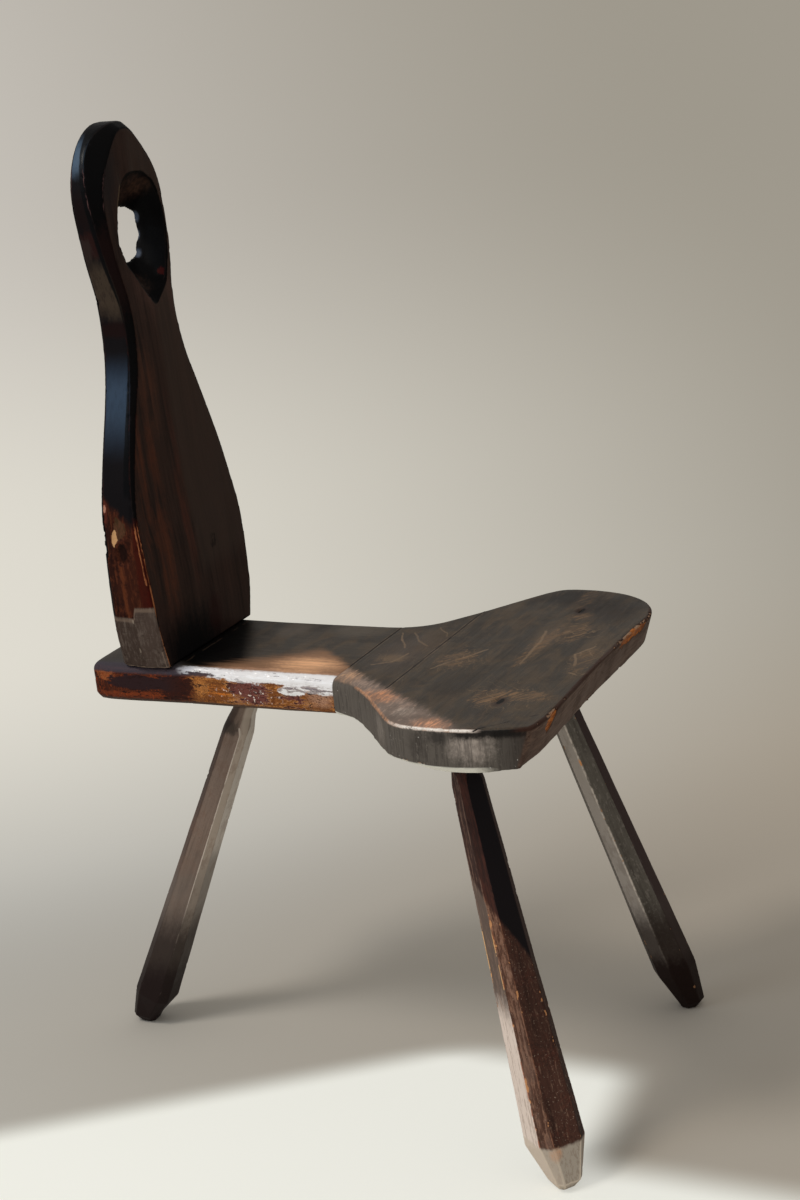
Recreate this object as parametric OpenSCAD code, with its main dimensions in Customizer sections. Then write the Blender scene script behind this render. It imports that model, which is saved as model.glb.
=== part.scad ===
// Three-legged plank-back chair, carved in solid wood.
// Millimetres, +Z up, the sitter faces -Y. The origin is on the floor, at the centre of the footprint.
// A broad seat of three boards stands on three hewn, splayed legs. One shaped plank makes the back.

/* [Seat] */
// Height of the seat's top face above the floor
seat_h = 400; // [360:5:460]
// Thickness of the seat's rear part
seat_t = 34.5; // [30:0.5:38]
// Thickness at the edge of the hollowed waist, where the seat widens
waist_t = 31.5; // [28:0.5:36]
// Thickness of the broad front part
front_t = 38.5; // [32:0.5:42]
// Front-to-back length of the seat
seat_len = 465; // [430:1:490]
// Half width of the narrow rear part, on the sitter's right
rear_half_r = 74; // [66:1:82]
// Half width of the narrow rear part, on the sitter's left
rear_half_l = 70; // [66:1:82]
// Half width of the broad front part, on the sitter's right
lobe_half_r = 163.5; // [150:0.5:195]
// Half width of the broad front part, on the sitter's left
lobe_half_l = 192.5; // [150:0.5:195]
// How far the front edge slopes back under the seat
front_undercut = 15; // [0:1:18]
// Worn rounding of the top edge along the rear part
rear_round = 8; // [4:0.5:10]
// Worn rounding of the top edge along the front part
front_round = 3; // [2:0.5:8]

/* [Seat joints] */
// Place of the joint between the rear and the middle board, ahead of the back plank's face
rear_joint = 161; // [140:1:175]
// Front-to-back width of the narrow middle board
middle_w = 57; // [52:1:75]
// Diameter of the dowels that cross the joints
dowel_d = 10; // [8:1:12]
// Length of those dowels
dowel_len = 50; // [40:2:50]

/* [Back plank] */
// Height of the back above the seat
back_h = 465; // [430:1:500]
// Greatest half width, low on the plank
back_wide = 85; // [78:1:92]
// Half width at its foot
back_foot = 74; // [70:1:82]
// Half width of the waist
back_waist = 40; // [34:1:46]
// Half width of the round head
back_head = 53.5; // [48:0.5:62]
// Thickness at the head
head_t = 29; // [22:1:32]
// Thickness at the foot
foot_t = 49.5; // [38:0.5:52]
// How far the front face leans back over its height
back_lean = 21; // [0:1:40]
// Greatest width of the chamfer, on the shoulders of the head
head_chamfer = 12; // [4:1:14]
// Diameter of the two pegs that hold the plank on the seat
peg_d = 14; // [10:1:18]
// Length of those pegs
peg_len = 58; // [50:1:60]

/* [Grip hole] */
// Height of the hole's centre above the seat
grip_z = 368; // [360:1:372]
// How far the hole sits off the middle, towards the sitter's left
grip_off = 6.5; // [0:0.5:7]
// Half width of the mouth in the front face
grip_half = 37; // [24:1:37]
// Height of the pointed mouth in the front face
grip_h = 112; // [90:1:118]
// Half width of the opening in the rear face
grip_rear_half = 35.5; // [24:0.5:37]
// Height of the opening in the rear face
grip_rear_h = 49; // [36:1:64]

/* [Legs] */
// Half distance between the front feet
foot_x = 161; // [140:1:180]
// Distance of the front feet ahead of the back plank's face
foot_front = 375; // [350:1:400]
// Distance of the rear foot behind the back plank's face
foot_rear = 132; // [100:1:160]
// Thickness of the right front leg near its foot
leg_w_r = 44; // [36:0.5:48]
// Thickness of the left front leg near its foot
leg_w_l = 38.5; // [36:0.5:48]
// Thickness of the rear leg near its foot
leg_w_rear = 36.5; // [34:0.5:44]
// Thickness of every leg just under its neck
leg_w_top = 25; // [23:0.5:28]
// Width of the corner chamfers, as a share of the leg's thickness
leg_chamfer = 0.2; // [0.12:0.01:0.29]
// The same on the left front leg, which was hewn closest to a true octagon
leg_chamfer_l = 0.27; // [0.12:0.01:0.29]
// Diameter of the round neck and of the tenon above it
neck_d = 22; // [20:1:24]
// Width of the worn flat under each foot
foot_flat = 16; // [12:1:22]

/* [Hidden] */
// The chair is laid out from the foot of the plank's front face, then moved to its own centre.
face_y = 123.3;
centre_x = 6.6;
rear_y = 87;                        // the seat's rear edge, behind that face
front_y = rear_y - seat_len;
joint_1 = -rear_joint;
joint_2 = joint_1 - middle_w;
blind = 13;                         // wood left beyond every blind mortise
round_steps = 3;
peg_xs = [-44, 44];
peg_y = 23;                         // the pegs' distance behind the plank's face
rear_xs = [-42, 0, 42];             // dowels across the two joints of the seat
front_xs = [-58, 0, 58];
// Where the leg axes pass the seat's top face, and where they meet the floor
top_r = [-85, -273, seat_h];
top_l = [85, -273, seat_h];
top_b = [0, -55, seat_h];
foot_r = [-foot_x, -foot_front, 0];
foot_l = [foot_x, -foot_front, 0];
foot_b = [0, foot_rear, 0];
dark = [0.20, 0.13, 0.11];
mid = [0.27, 0.19, 0.15];
worn = [0.36, 0.27, 0.21];
pale = [0.62, 0.47, 0.30];

function unit(v) = v / norm(v);
function clamp(x, a, b) = min(max(x, a), b);
function mix(a, b, t) = a + (b - a) * t;
function ease(t) = let (k = clamp(t, 0, 1)) k * k * (3 - 2 * k);

// Smooth value at s along a list of [place, value] stations
function span(st, s, i = 0) = i >= len(st) - 2 || s < st[i + 1][0] ? i : span(st, s, i + 1);
function rise(st, i) = let (a = st[max(i - 1, 0)], b = st[min(i + 1, len(st) - 1)])
    (b[1] - a[1]) / (b[0] - a[0]);
function along(st, s) =
    let (i = span(st, s), a = st[i], b = st[i + 1], h = b[0] - a[0], t = clamp((s - a[0]) / h, 0, 1),
         u = t * t * (3 - 2 * t))
    mix(a[1], b[1], u) + h * (rise(st, i) * t * (1 - t) * (1 - t) - rise(st, i + 1) * t * t * (1 - t));

// Smooth closed curve through points, sampled halfway between whole steps so that both sides pair up
function bend(a, b, c, d, t) =
    0.5 * (2 * b + (c - a) * t + (2 * a - 5 * b + 4 * c - d) * t * t + (3 * b - a - 3 * c + d) * t * t * t);
function closed_curve(p, q) = let (n = len(p))
    [for (k = [0:n * q - 1]) let (i = floor((k + 0.5) / q), t = (k + 0.5) / q - i)
        bend(p[(i + n - 1) % n], p[i], p[(i + 1) % n], p[(i + 2) % n], t)];

// Unit vector from point i of a counter-clockwise loop towards its inside
function inward(p, i) = let (n = len(p), t = unit(p[(i + 1) % n] - p[(i + n - 1) % n])) [-t[1], t[0]];

// Solid skin over equal rings, each counter-clockwise as seen from outside the first one.
// Point i pairs with point n - 1 - i across the ring, which closes both ends.
module loft(rings) {
    n = len(rings[0]);
    m = len(rings);
    last = (m - 1) * n;
    polyhedron(
        points = [for (r = rings) each r],
        faces = [
            for (r = [0:m - 2], i = [0:n - 1]) let (a = r * n + i, b = r * n + (i + 1) % n)
                each [[a, b, b + n], [a, b + n, a + n]],
            for (i = [0:n / 2 - 2]) let (j = n - 1 - i)
                each [[j, j - 1, i + 1], [j, i + 1, i],
                      [last + i, last + i + 1, last + j - 1], [last + i, last + j - 1, last + j]]
        ],
        convexity = 6);
}

// Everything is drawn about the plank's face and then centred over the footprint.
module placed() translate([-centre_x, face_y, 0]) children();

/* ---- back plank ---- */

// Half width of the body at height v, up to where the round head starts
head_v = back_h - 66;
back_side = [[0, back_foot], [30, mix(back_foot, back_wide, 0.62)], [70, back_wide - 1], [108, back_wide],
             [150, back_wide - 5], [190, mix(back_waist, back_wide, 0.65)],
             [235, mix(back_waist, back_wide, 0.3)], [262, back_waist + 4.5], [290, back_waist],
             [318, back_waist + 1], [350, mix(back_waist, back_head, 0.65)], [375, back_head - 1.5],
             [head_v, back_head]];
// Setback of the front face, from its foot to the head
back_face = [[0, 0], [35, 0.5], [100, 3.5], [140, 8], [200, 10.5], [260, 12], [330, 15.5],
             [400, back_lean - 1], [back_h, back_lean]];
// Thickness from the front face to the rear face
back_thick = [[0, foot_t], [70, foot_t - 5], [130, 37.5], [210, 32.5], [290, 33], [360, head_t],
              [back_h, head_t]];
// Width of the chamfer between the front face and the sides. It is cut 1.35 times as deep.
back_cham = [[0, 2], [120, 2], [190, 3], [260, 4.5], [338, 5.3], [374, 6.4], [400, 7.6],
             [422, head_chamfer - 2.2], [445, head_chamfer], [457, head_chamfer - 1.5], [back_h, 5.5]];
cham_depth = 1.35;
// Sideways drift of the plank, which was cut by eye
back_drift = [[0, 0], [260, 0], [340, 1], [back_h, 1.5]];

// Right half of the outline, from the foot up and round the head
back_levels = [for (v = [0:8:head_v - 6]) v];
back_half = concat(
    [for (v = back_levels) [along(back_side, v), v]],
    [for (a = [0:7:84]) [back_head * cos(a), head_v + (back_h - head_v) * sin(a)]]);
back_loop = concat(back_half, [for (i = [len(back_half) - 1:-1:0]) [-back_half[i][0], back_half[i][1]]]);

function back_in(i, d) =
    let (n = len(back_loop), end = i == 0 || i == n - 1,
         k = end ? [back_loop[i][0] > 0 ? -1 : 1, 0] : inward(back_loop, i))
    back_loop[i] + k * d;
function back_pt(p, y) = [p[0] + along(back_drift, clamp(p[1], 0, back_h)), y, seat_h + p[1]];
// where runs from 0 at the front face to 1 at the rear face, and MIDDLE follows the hewn sides' ridge.
// out lifts that ridge on the lower sides.
MIDDLE = -1;
function back_ring(inset, where, cham, out) =
    [for (i = [0:len(back_loop) - 1])
        let (v = back_loop[i][1], c = along(back_cham, v),
             share = where == MIDDLE ? mix(0.5, 0.75, ease((v - 200) / 120)) : where,
             p = back_in(i, inset + cham * c - out * (1 - ease((v - 60) / 90))),
             w = clamp(p[1], 0, back_h), depth = along(back_thick, w),
             y = along(back_face, w) + share * depth + (1 - cham) * (share == 0 ? cham_depth * c : 0))
        back_pt(p, y)];

// The grip: a pointed mouth in front narrows, in flat hewn facets, to a smaller opening behind.
function grip_mouth(u, h) = [[0.02 * u, -h], [0.55 * u, -0.77 * h], [0.84 * u, -0.36 * h],
    [0.98 * u, -0.02 * h], [u, 0.28 * h], [0.89 * u, 0.6 * h], [0.7 * u, 0.82 * h], [0.3 * u, 0.98 * h],
    [-0.12 * u, h], [-0.52 * u, 0.82 * h], [-0.74 * u, 0.58 * h], [-0.97 * u, 0.16 * h], [-u, -0.08 * h],
    [-0.8 * u, -0.39 * h]];
function grip_back(u, h) = [[0.02 * u, -h], [0.54 * u, -0.92 * h], [0.76 * u, -0.68 * h],
    [0.92 * u, -0.25 * h], [0.98 * u, 0.22 * h], [0.93 * u, 0.58 * h], [0.7 * u, 0.82 * h],
    [0.3 * u, 0.96 * h], [-0.12 * u, h], [-0.6 * u, 0.85 * h], [-0.88 * u, 0.5 * h], [-0.98 * u, 0.05 * h],
    [-0.94 * u, -0.4 * h], [-0.6 * u, -0.8 * h]];
module grip_cut() {
    mouth = grip_mouth(grip_half, grip_h / 2);
    rear = grip_back(grip_rear_half, grip_rear_h / 2);
    y0 = along(back_face, grip_z);
    t = along(back_thick, grip_z);
    // Both outlines are carried on, in the same slope, 6 mm past their faces.
    hull() for (e = [[y0 - 6, 1 + 6 / t], [y0 + t + 6, -6 / t]])
        translate([grip_off, e[0], seat_h + grip_z]) rotate([90, 0, 0])
            linear_extrude(0.5) polygon([for (i = [0:len(mouth) - 1]) mix(rear[i], mouth[i], e[1])]);
}

module back_plank() placed() color(mid) difference() {
    loft([back_ring(0, 0, 1, 0), back_ring(0, 0, 0, 0), back_ring(0, MIDDLE, 0, 2.5),
          back_ring(0, 0.9, 0, 0), back_ring(3, 1, 0, 0)]);
    grip_cut();
    pegs(seat_h - 1, peg_len - seat_t + blind + 4);
}

// Straight pegs, or holes for them, from z upwards
module pegs(z, h) for (x = peg_xs) translate([x, peg_y, z]) cylinder(d = peg_d, h = h, $fn = 48);
module back_dowels() placed() color(pale) pegs(seat_h - seat_t + blind, peg_len);

/* ---- seat ---- */

// One side of an outline of the seat, from the middle of the rear edge to the middle of the front edge.
// rear_half and lobe are its half widths, late moves the flare forwards.
// corner lists the front corner as [share of the lobe, y].
function seat_side(rear_half, lobe, late, corner) = let (f = function(t) mix(rear_half, lobe, t)) concat(
    [[0, rear_y], [rear_half * 0.5, rear_y], [rear_half - 7, rear_y - 1.5], [rear_half, rear_y - 14],
     [rear_half + 0.5, rear_y - 44], [rear_half - 1.5, rear_y - 88], [rear_half - 2, rear_y - 132],
     [rear_half - 1, -125], [rear_half + 1, -158 - late], [f(0.1), -184 - late], [f(0.3), -205 - late],
     [f(0.5), -221 - late], [f(0.72), -238 - late], [f(0.9), -253 - late], [f(0.98), -269], [f(0.998), -289]],
    [for (c = corner) [f(c[0]), c[1]]]);
function both_sides(r, l) = closed_curve(concat(
    [for (p = r) [-p[0], p[1]]], [for (i = [len(l) - 2:-1:1]) l[i]]), 3);
front_low = front_y + front_undercut;
// The top face has a crisp front corner on the sitter's right and a rounded one on the left.
top_loop = both_sides(
    seat_side(rear_half_r, lobe_half_r, 0,
              [[0.99, -307], [0.967, -329], [0.91, -348], [0.825, -369], [0.78, -374.5], [0.66, front_y + 1],
               [0.4, front_y - 0.5], [-0.2, front_y + 2], [-0.8, front_y + 4]]),
    seat_side(rear_half_l, lobe_half_l, 3.5,
              [[0.985, -311], [0.93, -333], [0.84, -350], [0.73, -362], [0.58, -371.5], [0.42, front_y + 3],
               [0.1, front_y + 4.5], [-0.2, front_y + 4.5], [-0.6, front_y + 4]]));
// The underside's outline lies behind the sloping front edge.
low_loop = both_sides(
    seat_side(rear_half_r, lobe_half_r, 0,
              [[0.99, -305], [0.967, -326], [0.92, -342], [0.865, front_low + 5.5], [0.83, front_low + 1],
               [0.66, front_low], [0.4, front_low - 2], [-0.2, front_low + 0.5], [-0.8, front_low + 4]]),
    seat_side(rear_half_l, lobe_half_l - 1, 3.5,
              [[0.99, -305], [0.965, -323], [0.915, -339], [0.83, front_low + 13], [0.67, front_low + 6],
               [0.42, front_low + 4.5], [0.1, front_low + 5], [-0.2, front_low + 4.5],
               [-0.6, front_low + 4]]));

// The top edge is worn broad along the middle of the rear part and stays crisp around the front part.
function wear(y) = mix(front_round, rear_round, ease((y + 215) / 60));
function wear_deep(y) = 0.75 + 0.5 * ease((y + 200) / 60) * ease((20 - y) / 60);
// Depth of the underside's edge: it rises under the waist. The bevel above it fades out there.
edge_low = [[-400, seat_t + 1], [-364, seat_t + 1], [-345, front_t], [-305, front_t], [-262, waist_t],
            [-235, waist_t + 2.5], [-205, waist_t + 2.5], [-178, waist_t], [-140, seat_t - 1],
            [-60, seat_t], [100, seat_t]];
edge_bevel = [[-400, 1], [-364, 1], [-345, 6], [-305, 6], [-262, 1.2], [-175, 1.2], [-150, 6], [100, 6]];
bevel_slope = 0.7;
// inset and drop are shares of the worn edge, up is a share of the bevel above the underside
function seat_ring(inset, drop, up = -1) =
    [for (i = [0:len(top_loop) - 1])
        let (y = top_loop[i][1], r = wear(y), e = along(edge_low, y), c = along(edge_bevel, y),
             z = up < 0 ? drop * r * wear_deep(y) : e - up * c,
             p = mix(top_loop[i], low_loop[i], z / e),
             q = p + inward(top_loop, i) * (up < 0 ? inset * r : bevel_slope * (1 - up) * c))
        [q[0], q[1], seat_h - z]];

module seat_blank() loft(concat(
    [for (a = [0:90 / round_steps:90]) seat_ring(1 - sin(a), 1 - cos(a))],
    [seat_ring(0, 0, 1), seat_ring(0, 0, 0)]));

// A slice of the blank between two planes across the seat
module seat_slice(y0, y1) intersection() {
    seat_blank();
    translate([-250, y0, seat_h - front_t - 1]) cube([500, y1 - y0, front_t + 2]);
}

// Moves a child from the vertical to a leg's axis, with its zero where the axis passes the seat's top
module on_leg(top, foot) {
    d = top - foot;
    translate(top) rotate([0, -atan2(norm([d[0], d[1]]), d[2]), atan2(-d[1], -d[0])]) children();
}
function leg_len(top, foot) = norm(top - foot);
function slant(top, foot) = leg_len(top, foot) / seat_h;
module mortise(top, foot) on_leg(top, foot) translate([0, 0, -2 * seat_t])
    cylinder(d = neck_d, h = 2 * seat_t - blind * slant(top, foot), $fn = 48);

module cross_dowels(y, xs) for (x = xs)
    translate([x, y - dowel_len / 2, seat_h - seat_t / 2]) rotate([-90, 0, 0])
        cylinder(d = dowel_d, h = dowel_len, $fn = 36);

module seat_rear_board() placed() color(worn) difference() {
    seat_slice(joint_1, rear_y + 20);
    mortise(top_b, foot_b);
    cross_dowels(joint_1, rear_xs);
    pegs(seat_h - seat_t + blind, seat_t);
}
module seat_middle_board() placed() color(mid) difference() {
    seat_slice(joint_2, joint_1);
    cross_dowels(joint_1, rear_xs);
    cross_dowels(joint_2, front_xs);
}
module seat_front_board() placed() color(mid) difference() {
    seat_slice(front_y - 20, joint_2);
    mortise(top_r, foot_r);
    mortise(top_l, foot_l);
    cross_dowels(joint_2, front_xs);
}
module rear_joint_dowels() placed() color(pale) cross_dowels(joint_1, rear_xs);
module front_joint_dowels() placed() color(pale) cross_dowels(joint_2, front_xs);

/* ---- legs ---- */

// Square ring of width w with cut corners, on axes e (outwards) and t (sideways) about c
function leg_ring(c, e, t, w, cut) = let (a = w / 2, b = a - w * cut)
    [for (q = [[a, -b], [a, b], [b, a], [-b, a], [-a, b], [-a, -b], [-b, -a], [b, -a]])
        c + e * q[0] + t * q[1]];

// The hewn shaft swells towards the floor, and long facets cut its foot to a blunt tip.
// A cone through the square shaft makes the scalloped shoulder, neck below the seat's top.
shoulder_h = 30;                    // length of that cone
shoulder_r = 17;                    // its radius where it meets the shaft
tip_h = 7;                          // height at which the foot's facets end
tip_w = foot_flat + 9;              // thickness there
swell = 0.48;                       // share of the swelling reached halfway down the shaft
room = 60;                          // wider than any shaft
module leg(top, foot, w_top, w, knee, neck, cut = leg_chamfer) {
    run = unit(foot - top);
    h = unit([run[0], run[1], 0]);
    side = cross([0, 0, 1], h);
    out = cross(side, run) * -1;
    k = slant(top, foot);
    below = seat_h - neck - shoulder_h / 2;
    function at_z(z) = top + run * (seat_h - z) * k;
    union() {
        intersection() {
            loft([leg_ring(at_z(below + shoulder_h - 5), out, side, w_top - 1, cut),
                  leg_ring(at_z(below), out, side, w_top, cut),
                  leg_ring(at_z(mix(below, knee, 0.5)), out, side, mix(w_top, w, swell), cut),
                  leg_ring(at_z(knee), out, side, w, cut),
                  leg_ring(foot - h + [0, 0, tip_h], unit(h + out * 0.3), side, tip_w, cut),
                  leg_ring(foot - h * 2.5, h, side, foot_flat, cut)]);
            on_leg(top, foot) union() {
                translate([0, 0, -(neck + shoulder_h) * k])
                    cylinder(r1 = shoulder_r, r2 = neck_d / 2, h = shoulder_h * k, $fn = 48);
                translate([0, 0, -(seat_h + shoulder_h) * k])
                    cylinder(r = room, h = (seat_h - neck) * k, $fn = 48);
            }
        }
        on_leg(top, foot) translate([0, 0, -(neck + 12) * k])
            cylinder(d = neck_d, h = (neck + 12 - blind) * k, $fn = 48);
    }
}

module front_leg_right() placed() color(dark) leg(top_r, foot_r, leg_w_top - 0.5, leg_w_r, 38, 56);
module front_leg_left() placed() color(dark) leg(top_l, foot_l, leg_w_top + 1.5, leg_w_l, 44, 50, leg_chamfer_l);
module rear_leg() placed() color(dark) leg(top_b, foot_b, leg_w_top, leg_w_rear, 32, 66);

back_plank();
seat_rear_board();
seat_middle_board();
seat_front_board();
front_leg_right();
front_leg_left();
rear_leg();
rear_joint_dowels();
front_joint_dowels();
back_dowels();
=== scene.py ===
# %% [markdown]
# # A three-legged chair with a carved back, dressed for its picture
# The chair is plain joinery: a thick carved back plank stands on a seat of three glued boards, and three
# eight-sided legs are driven into the seat from below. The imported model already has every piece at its
# real place and size. This lesson turns those exact solids into old, hand-worked, dark-stained wood.

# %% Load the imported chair
import math

import bmesh
import bpy
import numpy as np
from mathutils import Euler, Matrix, Vector, kdtree, noise


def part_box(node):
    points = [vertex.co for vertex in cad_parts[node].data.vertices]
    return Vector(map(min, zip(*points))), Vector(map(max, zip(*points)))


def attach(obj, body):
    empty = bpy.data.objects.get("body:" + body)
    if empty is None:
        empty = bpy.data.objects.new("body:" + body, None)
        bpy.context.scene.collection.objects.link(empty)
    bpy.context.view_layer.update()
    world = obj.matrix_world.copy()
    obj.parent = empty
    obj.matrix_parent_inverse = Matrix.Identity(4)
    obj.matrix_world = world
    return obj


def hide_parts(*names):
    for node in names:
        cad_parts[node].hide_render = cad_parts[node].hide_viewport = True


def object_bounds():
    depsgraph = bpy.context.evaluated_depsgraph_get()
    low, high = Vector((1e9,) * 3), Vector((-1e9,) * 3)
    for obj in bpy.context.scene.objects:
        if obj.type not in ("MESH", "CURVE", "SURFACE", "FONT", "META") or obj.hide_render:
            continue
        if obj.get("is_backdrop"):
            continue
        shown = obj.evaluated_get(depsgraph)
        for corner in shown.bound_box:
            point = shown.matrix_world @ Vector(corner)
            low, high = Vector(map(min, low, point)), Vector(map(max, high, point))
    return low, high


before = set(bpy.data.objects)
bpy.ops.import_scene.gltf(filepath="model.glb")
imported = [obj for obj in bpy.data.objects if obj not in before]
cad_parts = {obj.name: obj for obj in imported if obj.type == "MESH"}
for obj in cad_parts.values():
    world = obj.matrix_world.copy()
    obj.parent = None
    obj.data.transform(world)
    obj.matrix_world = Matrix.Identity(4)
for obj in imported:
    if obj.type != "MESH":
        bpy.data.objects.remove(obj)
cad_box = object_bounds()
MM = 0.001
print("pieces:", ", ".join(sorted(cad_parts)))
print("size in mm:", [round(high - low) for low, high in zip(*(corner / MM for corner in cad_box))])

# %% [markdown]
# ## Working with operators
# Blender's operators act on whatever is selected, so each step begins by selecting one piece alone.
# A modifier is a live recipe; applying it writes its result into the mesh, as a finished piece needs.


# %% Select one piece, apply one modifier
def alone(piece):
    if bpy.context.object and bpy.context.object.mode != "OBJECT":
        bpy.ops.object.mode_set(mode="OBJECT")
    bpy.ops.object.select_all(action="DESELECT")
    bpy.context.view_layer.objects.active = piece
    piece.select_set(True)
    return piece


def apply_modifier(piece, kind, **settings):
    alone(piece)
    modifier = piece.modifiers.new(kind.title(), kind)
    for name, value in settings.items():
        setattr(modifier, name, value)
    bpy.ops.object.modifier_apply(modifier=modifier.name)


# %% [markdown]
# ## From exact solids to worked wood
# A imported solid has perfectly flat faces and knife-sharp arrises (an arris is the edge where two faces
# meet). Real ones are rubbed round by hands and years. Bevelling every edge of a lofted solid is fussy,
# so each piece is copied, its loose triangles are merged into one closed skin, and the skin is rebuilt as
# an even net of small squares with a voxel remesh. A light smoothing then rounds each arris evenly, and
# the even net has enough points to carry shallow tool marks and chips.


# %% Copy a solid and find its sharp arrises
SAME_POINT = 0.01 * MM
ON_PLANE = 0.1 * MM


def copy_solid(node, name):
    piece = bpy.data.objects.new(name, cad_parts[node].data.copy())
    bpy.context.scene.collection.objects.link(piece)
    alone(piece)
    bpy.ops.object.mode_set(mode="EDIT")
    bpy.ops.mesh.select_all(action="SELECT")
    bpy.ops.mesh.remove_doubles(threshold=SAME_POINT)
    bpy.ops.object.mode_set(mode="OBJECT")
    return piece


def on_joint(vertices, joints):
    return any(all(abs(vertex.co.y - joint) < ON_PLANE for vertex in vertices) for joint in joints)


def arris_tree(piece, sharper_than, joints=(), spacing=1.5 * MM):
    shell = bmesh.new()
    shell.from_mesh(piece.data)
    points = []
    for edge in shell.edges:
        if len(edge.link_faces) != 2 or not edge.is_convex or on_joint(edge.verts, joints):
            continue
        if edge.calc_face_angle() > math.radians(sharper_than):
            start, end = (vertex.co.copy() for vertex in edge.verts)
            steps = max(1, int((end - start).length / spacing))
            points += [start.lerp(end, step / steps) for step in range(steps + 1)]
    shell.free()
    tree = kdtree.KDTree(len(points))
    for index, point in enumerate(points):
        tree.insert(point, index)
    tree.balance()
    return tree


# %% [markdown]
# ## Joints that stay square
# Glued boards are planed together, so their meeting edges stay crisp while all others are rubbed. Each
# joint face is drawn out by a few millimetres before the remesh and sawn back to its exact plane after
# it, so two neighbours meet flush.


# %% Draw a joint face out, and saw it back
JOINT_SPARE = 5 * MM


def draw_out(piece, joint, way):
    alone(piece)
    for polygon in piece.data.polygons:
        polygon.select = abs(polygon.center.y - joint) < ON_PLANE and polygon.normal.y * way > 0.9
    for edge in piece.data.edges:
        edge.select = False
    for vertex in piece.data.vertices:
        vertex.select = False
    bpy.ops.object.mode_set(mode="EDIT")
    bpy.ops.mesh.select_mode(type="FACE")
    bpy.ops.mesh.extrude_region_move(TRANSFORM_OT_translate={"value": (0, way * JOINT_SPARE, 0)})
    bpy.ops.mesh.select_mode(type="VERT")
    bpy.ops.object.mode_set(mode="OBJECT")


def saw_back(piece, joint, way):
    alone(piece)
    bpy.ops.object.mode_set(mode="EDIT")
    bpy.ops.mesh.select_all(action="SELECT")
    bpy.ops.mesh.bisect(plane_co=(0, joint, 0), plane_no=(0, way, 0), use_fill=True, clear_outer=True)
    bpy.ops.object.mode_set(mode="OBJECT")


# %% Numbers at every point of a mesh
def keep(piece, name, values):
    attribute = piece.data.attributes.get(name) or piece.data.attributes.new(name, "FLOAT", "POINT")
    attribute.data.foreach_set("value", np.asarray(values, np.float32))


def read_points(piece, what):
    values = np.empty(len(piece.data.vertices) * 3)
    piece.data.vertices.foreach_get(what, values)
    return values.reshape(-1, 3)


def smoothstep(low, high, value):
    share = np.clip((value - low) / (high - low), 0, 1)
    return share * share * (3 - 2 * share)


def cloud(points, size, seed, octaves=3):
    shift = Vector((seed * 7.31, seed * 3.17, seed * 5.73))
    return np.array([noise.fractal(Vector(p) + shift, 1.0, 2.0, octaves) for p in points / (size * MM)])


def reach_share(points, centre, reach):
    """0 at the centre of a round place and 1 at its rim; centre and reach are in mm"""
    return np.linalg.norm((points / MM - centre) / np.array(reach, float), axis=1)


# %% [markdown]
# ## Chips, flakes, gouge marks and a hewn surface
# Wood loses small chips where two faces meet, most where people grip, knock or rub it, and larger flakes
# lift where the varnish failed. Each point of the even net knows how far it is from the nearest arris.
# Where it is close and a cloud of noise is strong, the point moves inwards by about a millimetre. Each
# flake is given by a centre, a reach and a depth in millimetres, with its rim made ragged by the same
# kind of noise, and each gouge mark is the same with a smooth rim. The numbers are kept on the mesh, so
# the finish shows raw wood exactly where it is gone. So is the way each point faces, because stain and
# wear differ from facet to facet, and because some flats get painted light or shade by the way they face.


# %% Chip, flake, gouge and hew one piece
def weather(piece, tree, knocks=(), flakes=(), gouges=(), spared=(), grooves=(),
            chips=0.1, chip_depth=1.1, hewn=0.4, seed=1):
    places, normals = read_points(piece, "co"), read_points(piece, "normal")
    distance = np.array([tree.find(place)[2] for place in places]) / MM
    fine, coarse = cloud(places, 4, seed), cloud(places, 13, seed + 1)
    amount = np.full(len(places), chips)
    for centre, reach, strength in knocks:
        knock = 1 - smoothstep(0.4, 1.0, reach_share(places, centre, reach))
        amount = np.maximum(amount, strength * knock)
    near = 1 - smoothstep(0.4, 5.5, distance)
    chip = smoothstep(0.0, 0.16, near * (0.62 + 0.55 * coarse + 0.45 * fine) - 0.95 + 0.62 * amount)
    flake, flake_depth = np.zeros(len(places)), np.zeros(len(places))
    for centre, reach, depth in flakes:
        mask = 1 - smoothstep(0.86, 1.0, reach_share(places, centre, reach) + 0.45 * coarse + 0.3 * fine)
        flake, flake_depth = np.maximum(flake, mask), np.maximum(flake_depth, mask * depth)
    unevenness = np.clip(cloud(places, 42, 2, 2) * 0.5 + 0.5, 0, 1)
    inward = np.maximum(chip * chip_depth, flake_depth) + unevenness * hewn
    for centre, reach in spared:
        inward *= smoothstep(0.8, 1.0, reach_share(places, centre, reach))
    for centre, reach, depth in gouges:
        inward += depth * (1 - smoothstep(0.1, 1.0, reach_share(places, centre, reach)))
    for joint, depth in grooves:
        inward += depth * (1 - smoothstep(0.0, 2.0, np.abs(places[:, 1] - joint) / MM))
    piece.data.vertices.foreach_set("co", (places - normals * (inward * MM)[:, None]).ravel())
    piece.data.update()
    keep(piece, "arris", 1 - smoothstep(0, 6, distance))
    keep(piece, "chip", chip)
    keep(piece, "flake", flake)
    for axis, name in enumerate(("faces_x", "faces_y", "faces_z")):
        keep(piece, name, normals[:, axis])
    worn = f"{np.mean(chip > 0.5):.1%} chipped, {np.mean(flake > 0.5):.1%} flaked"
    print(f"  {piece.name}: {len(places)} points, {worn}")


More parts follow.
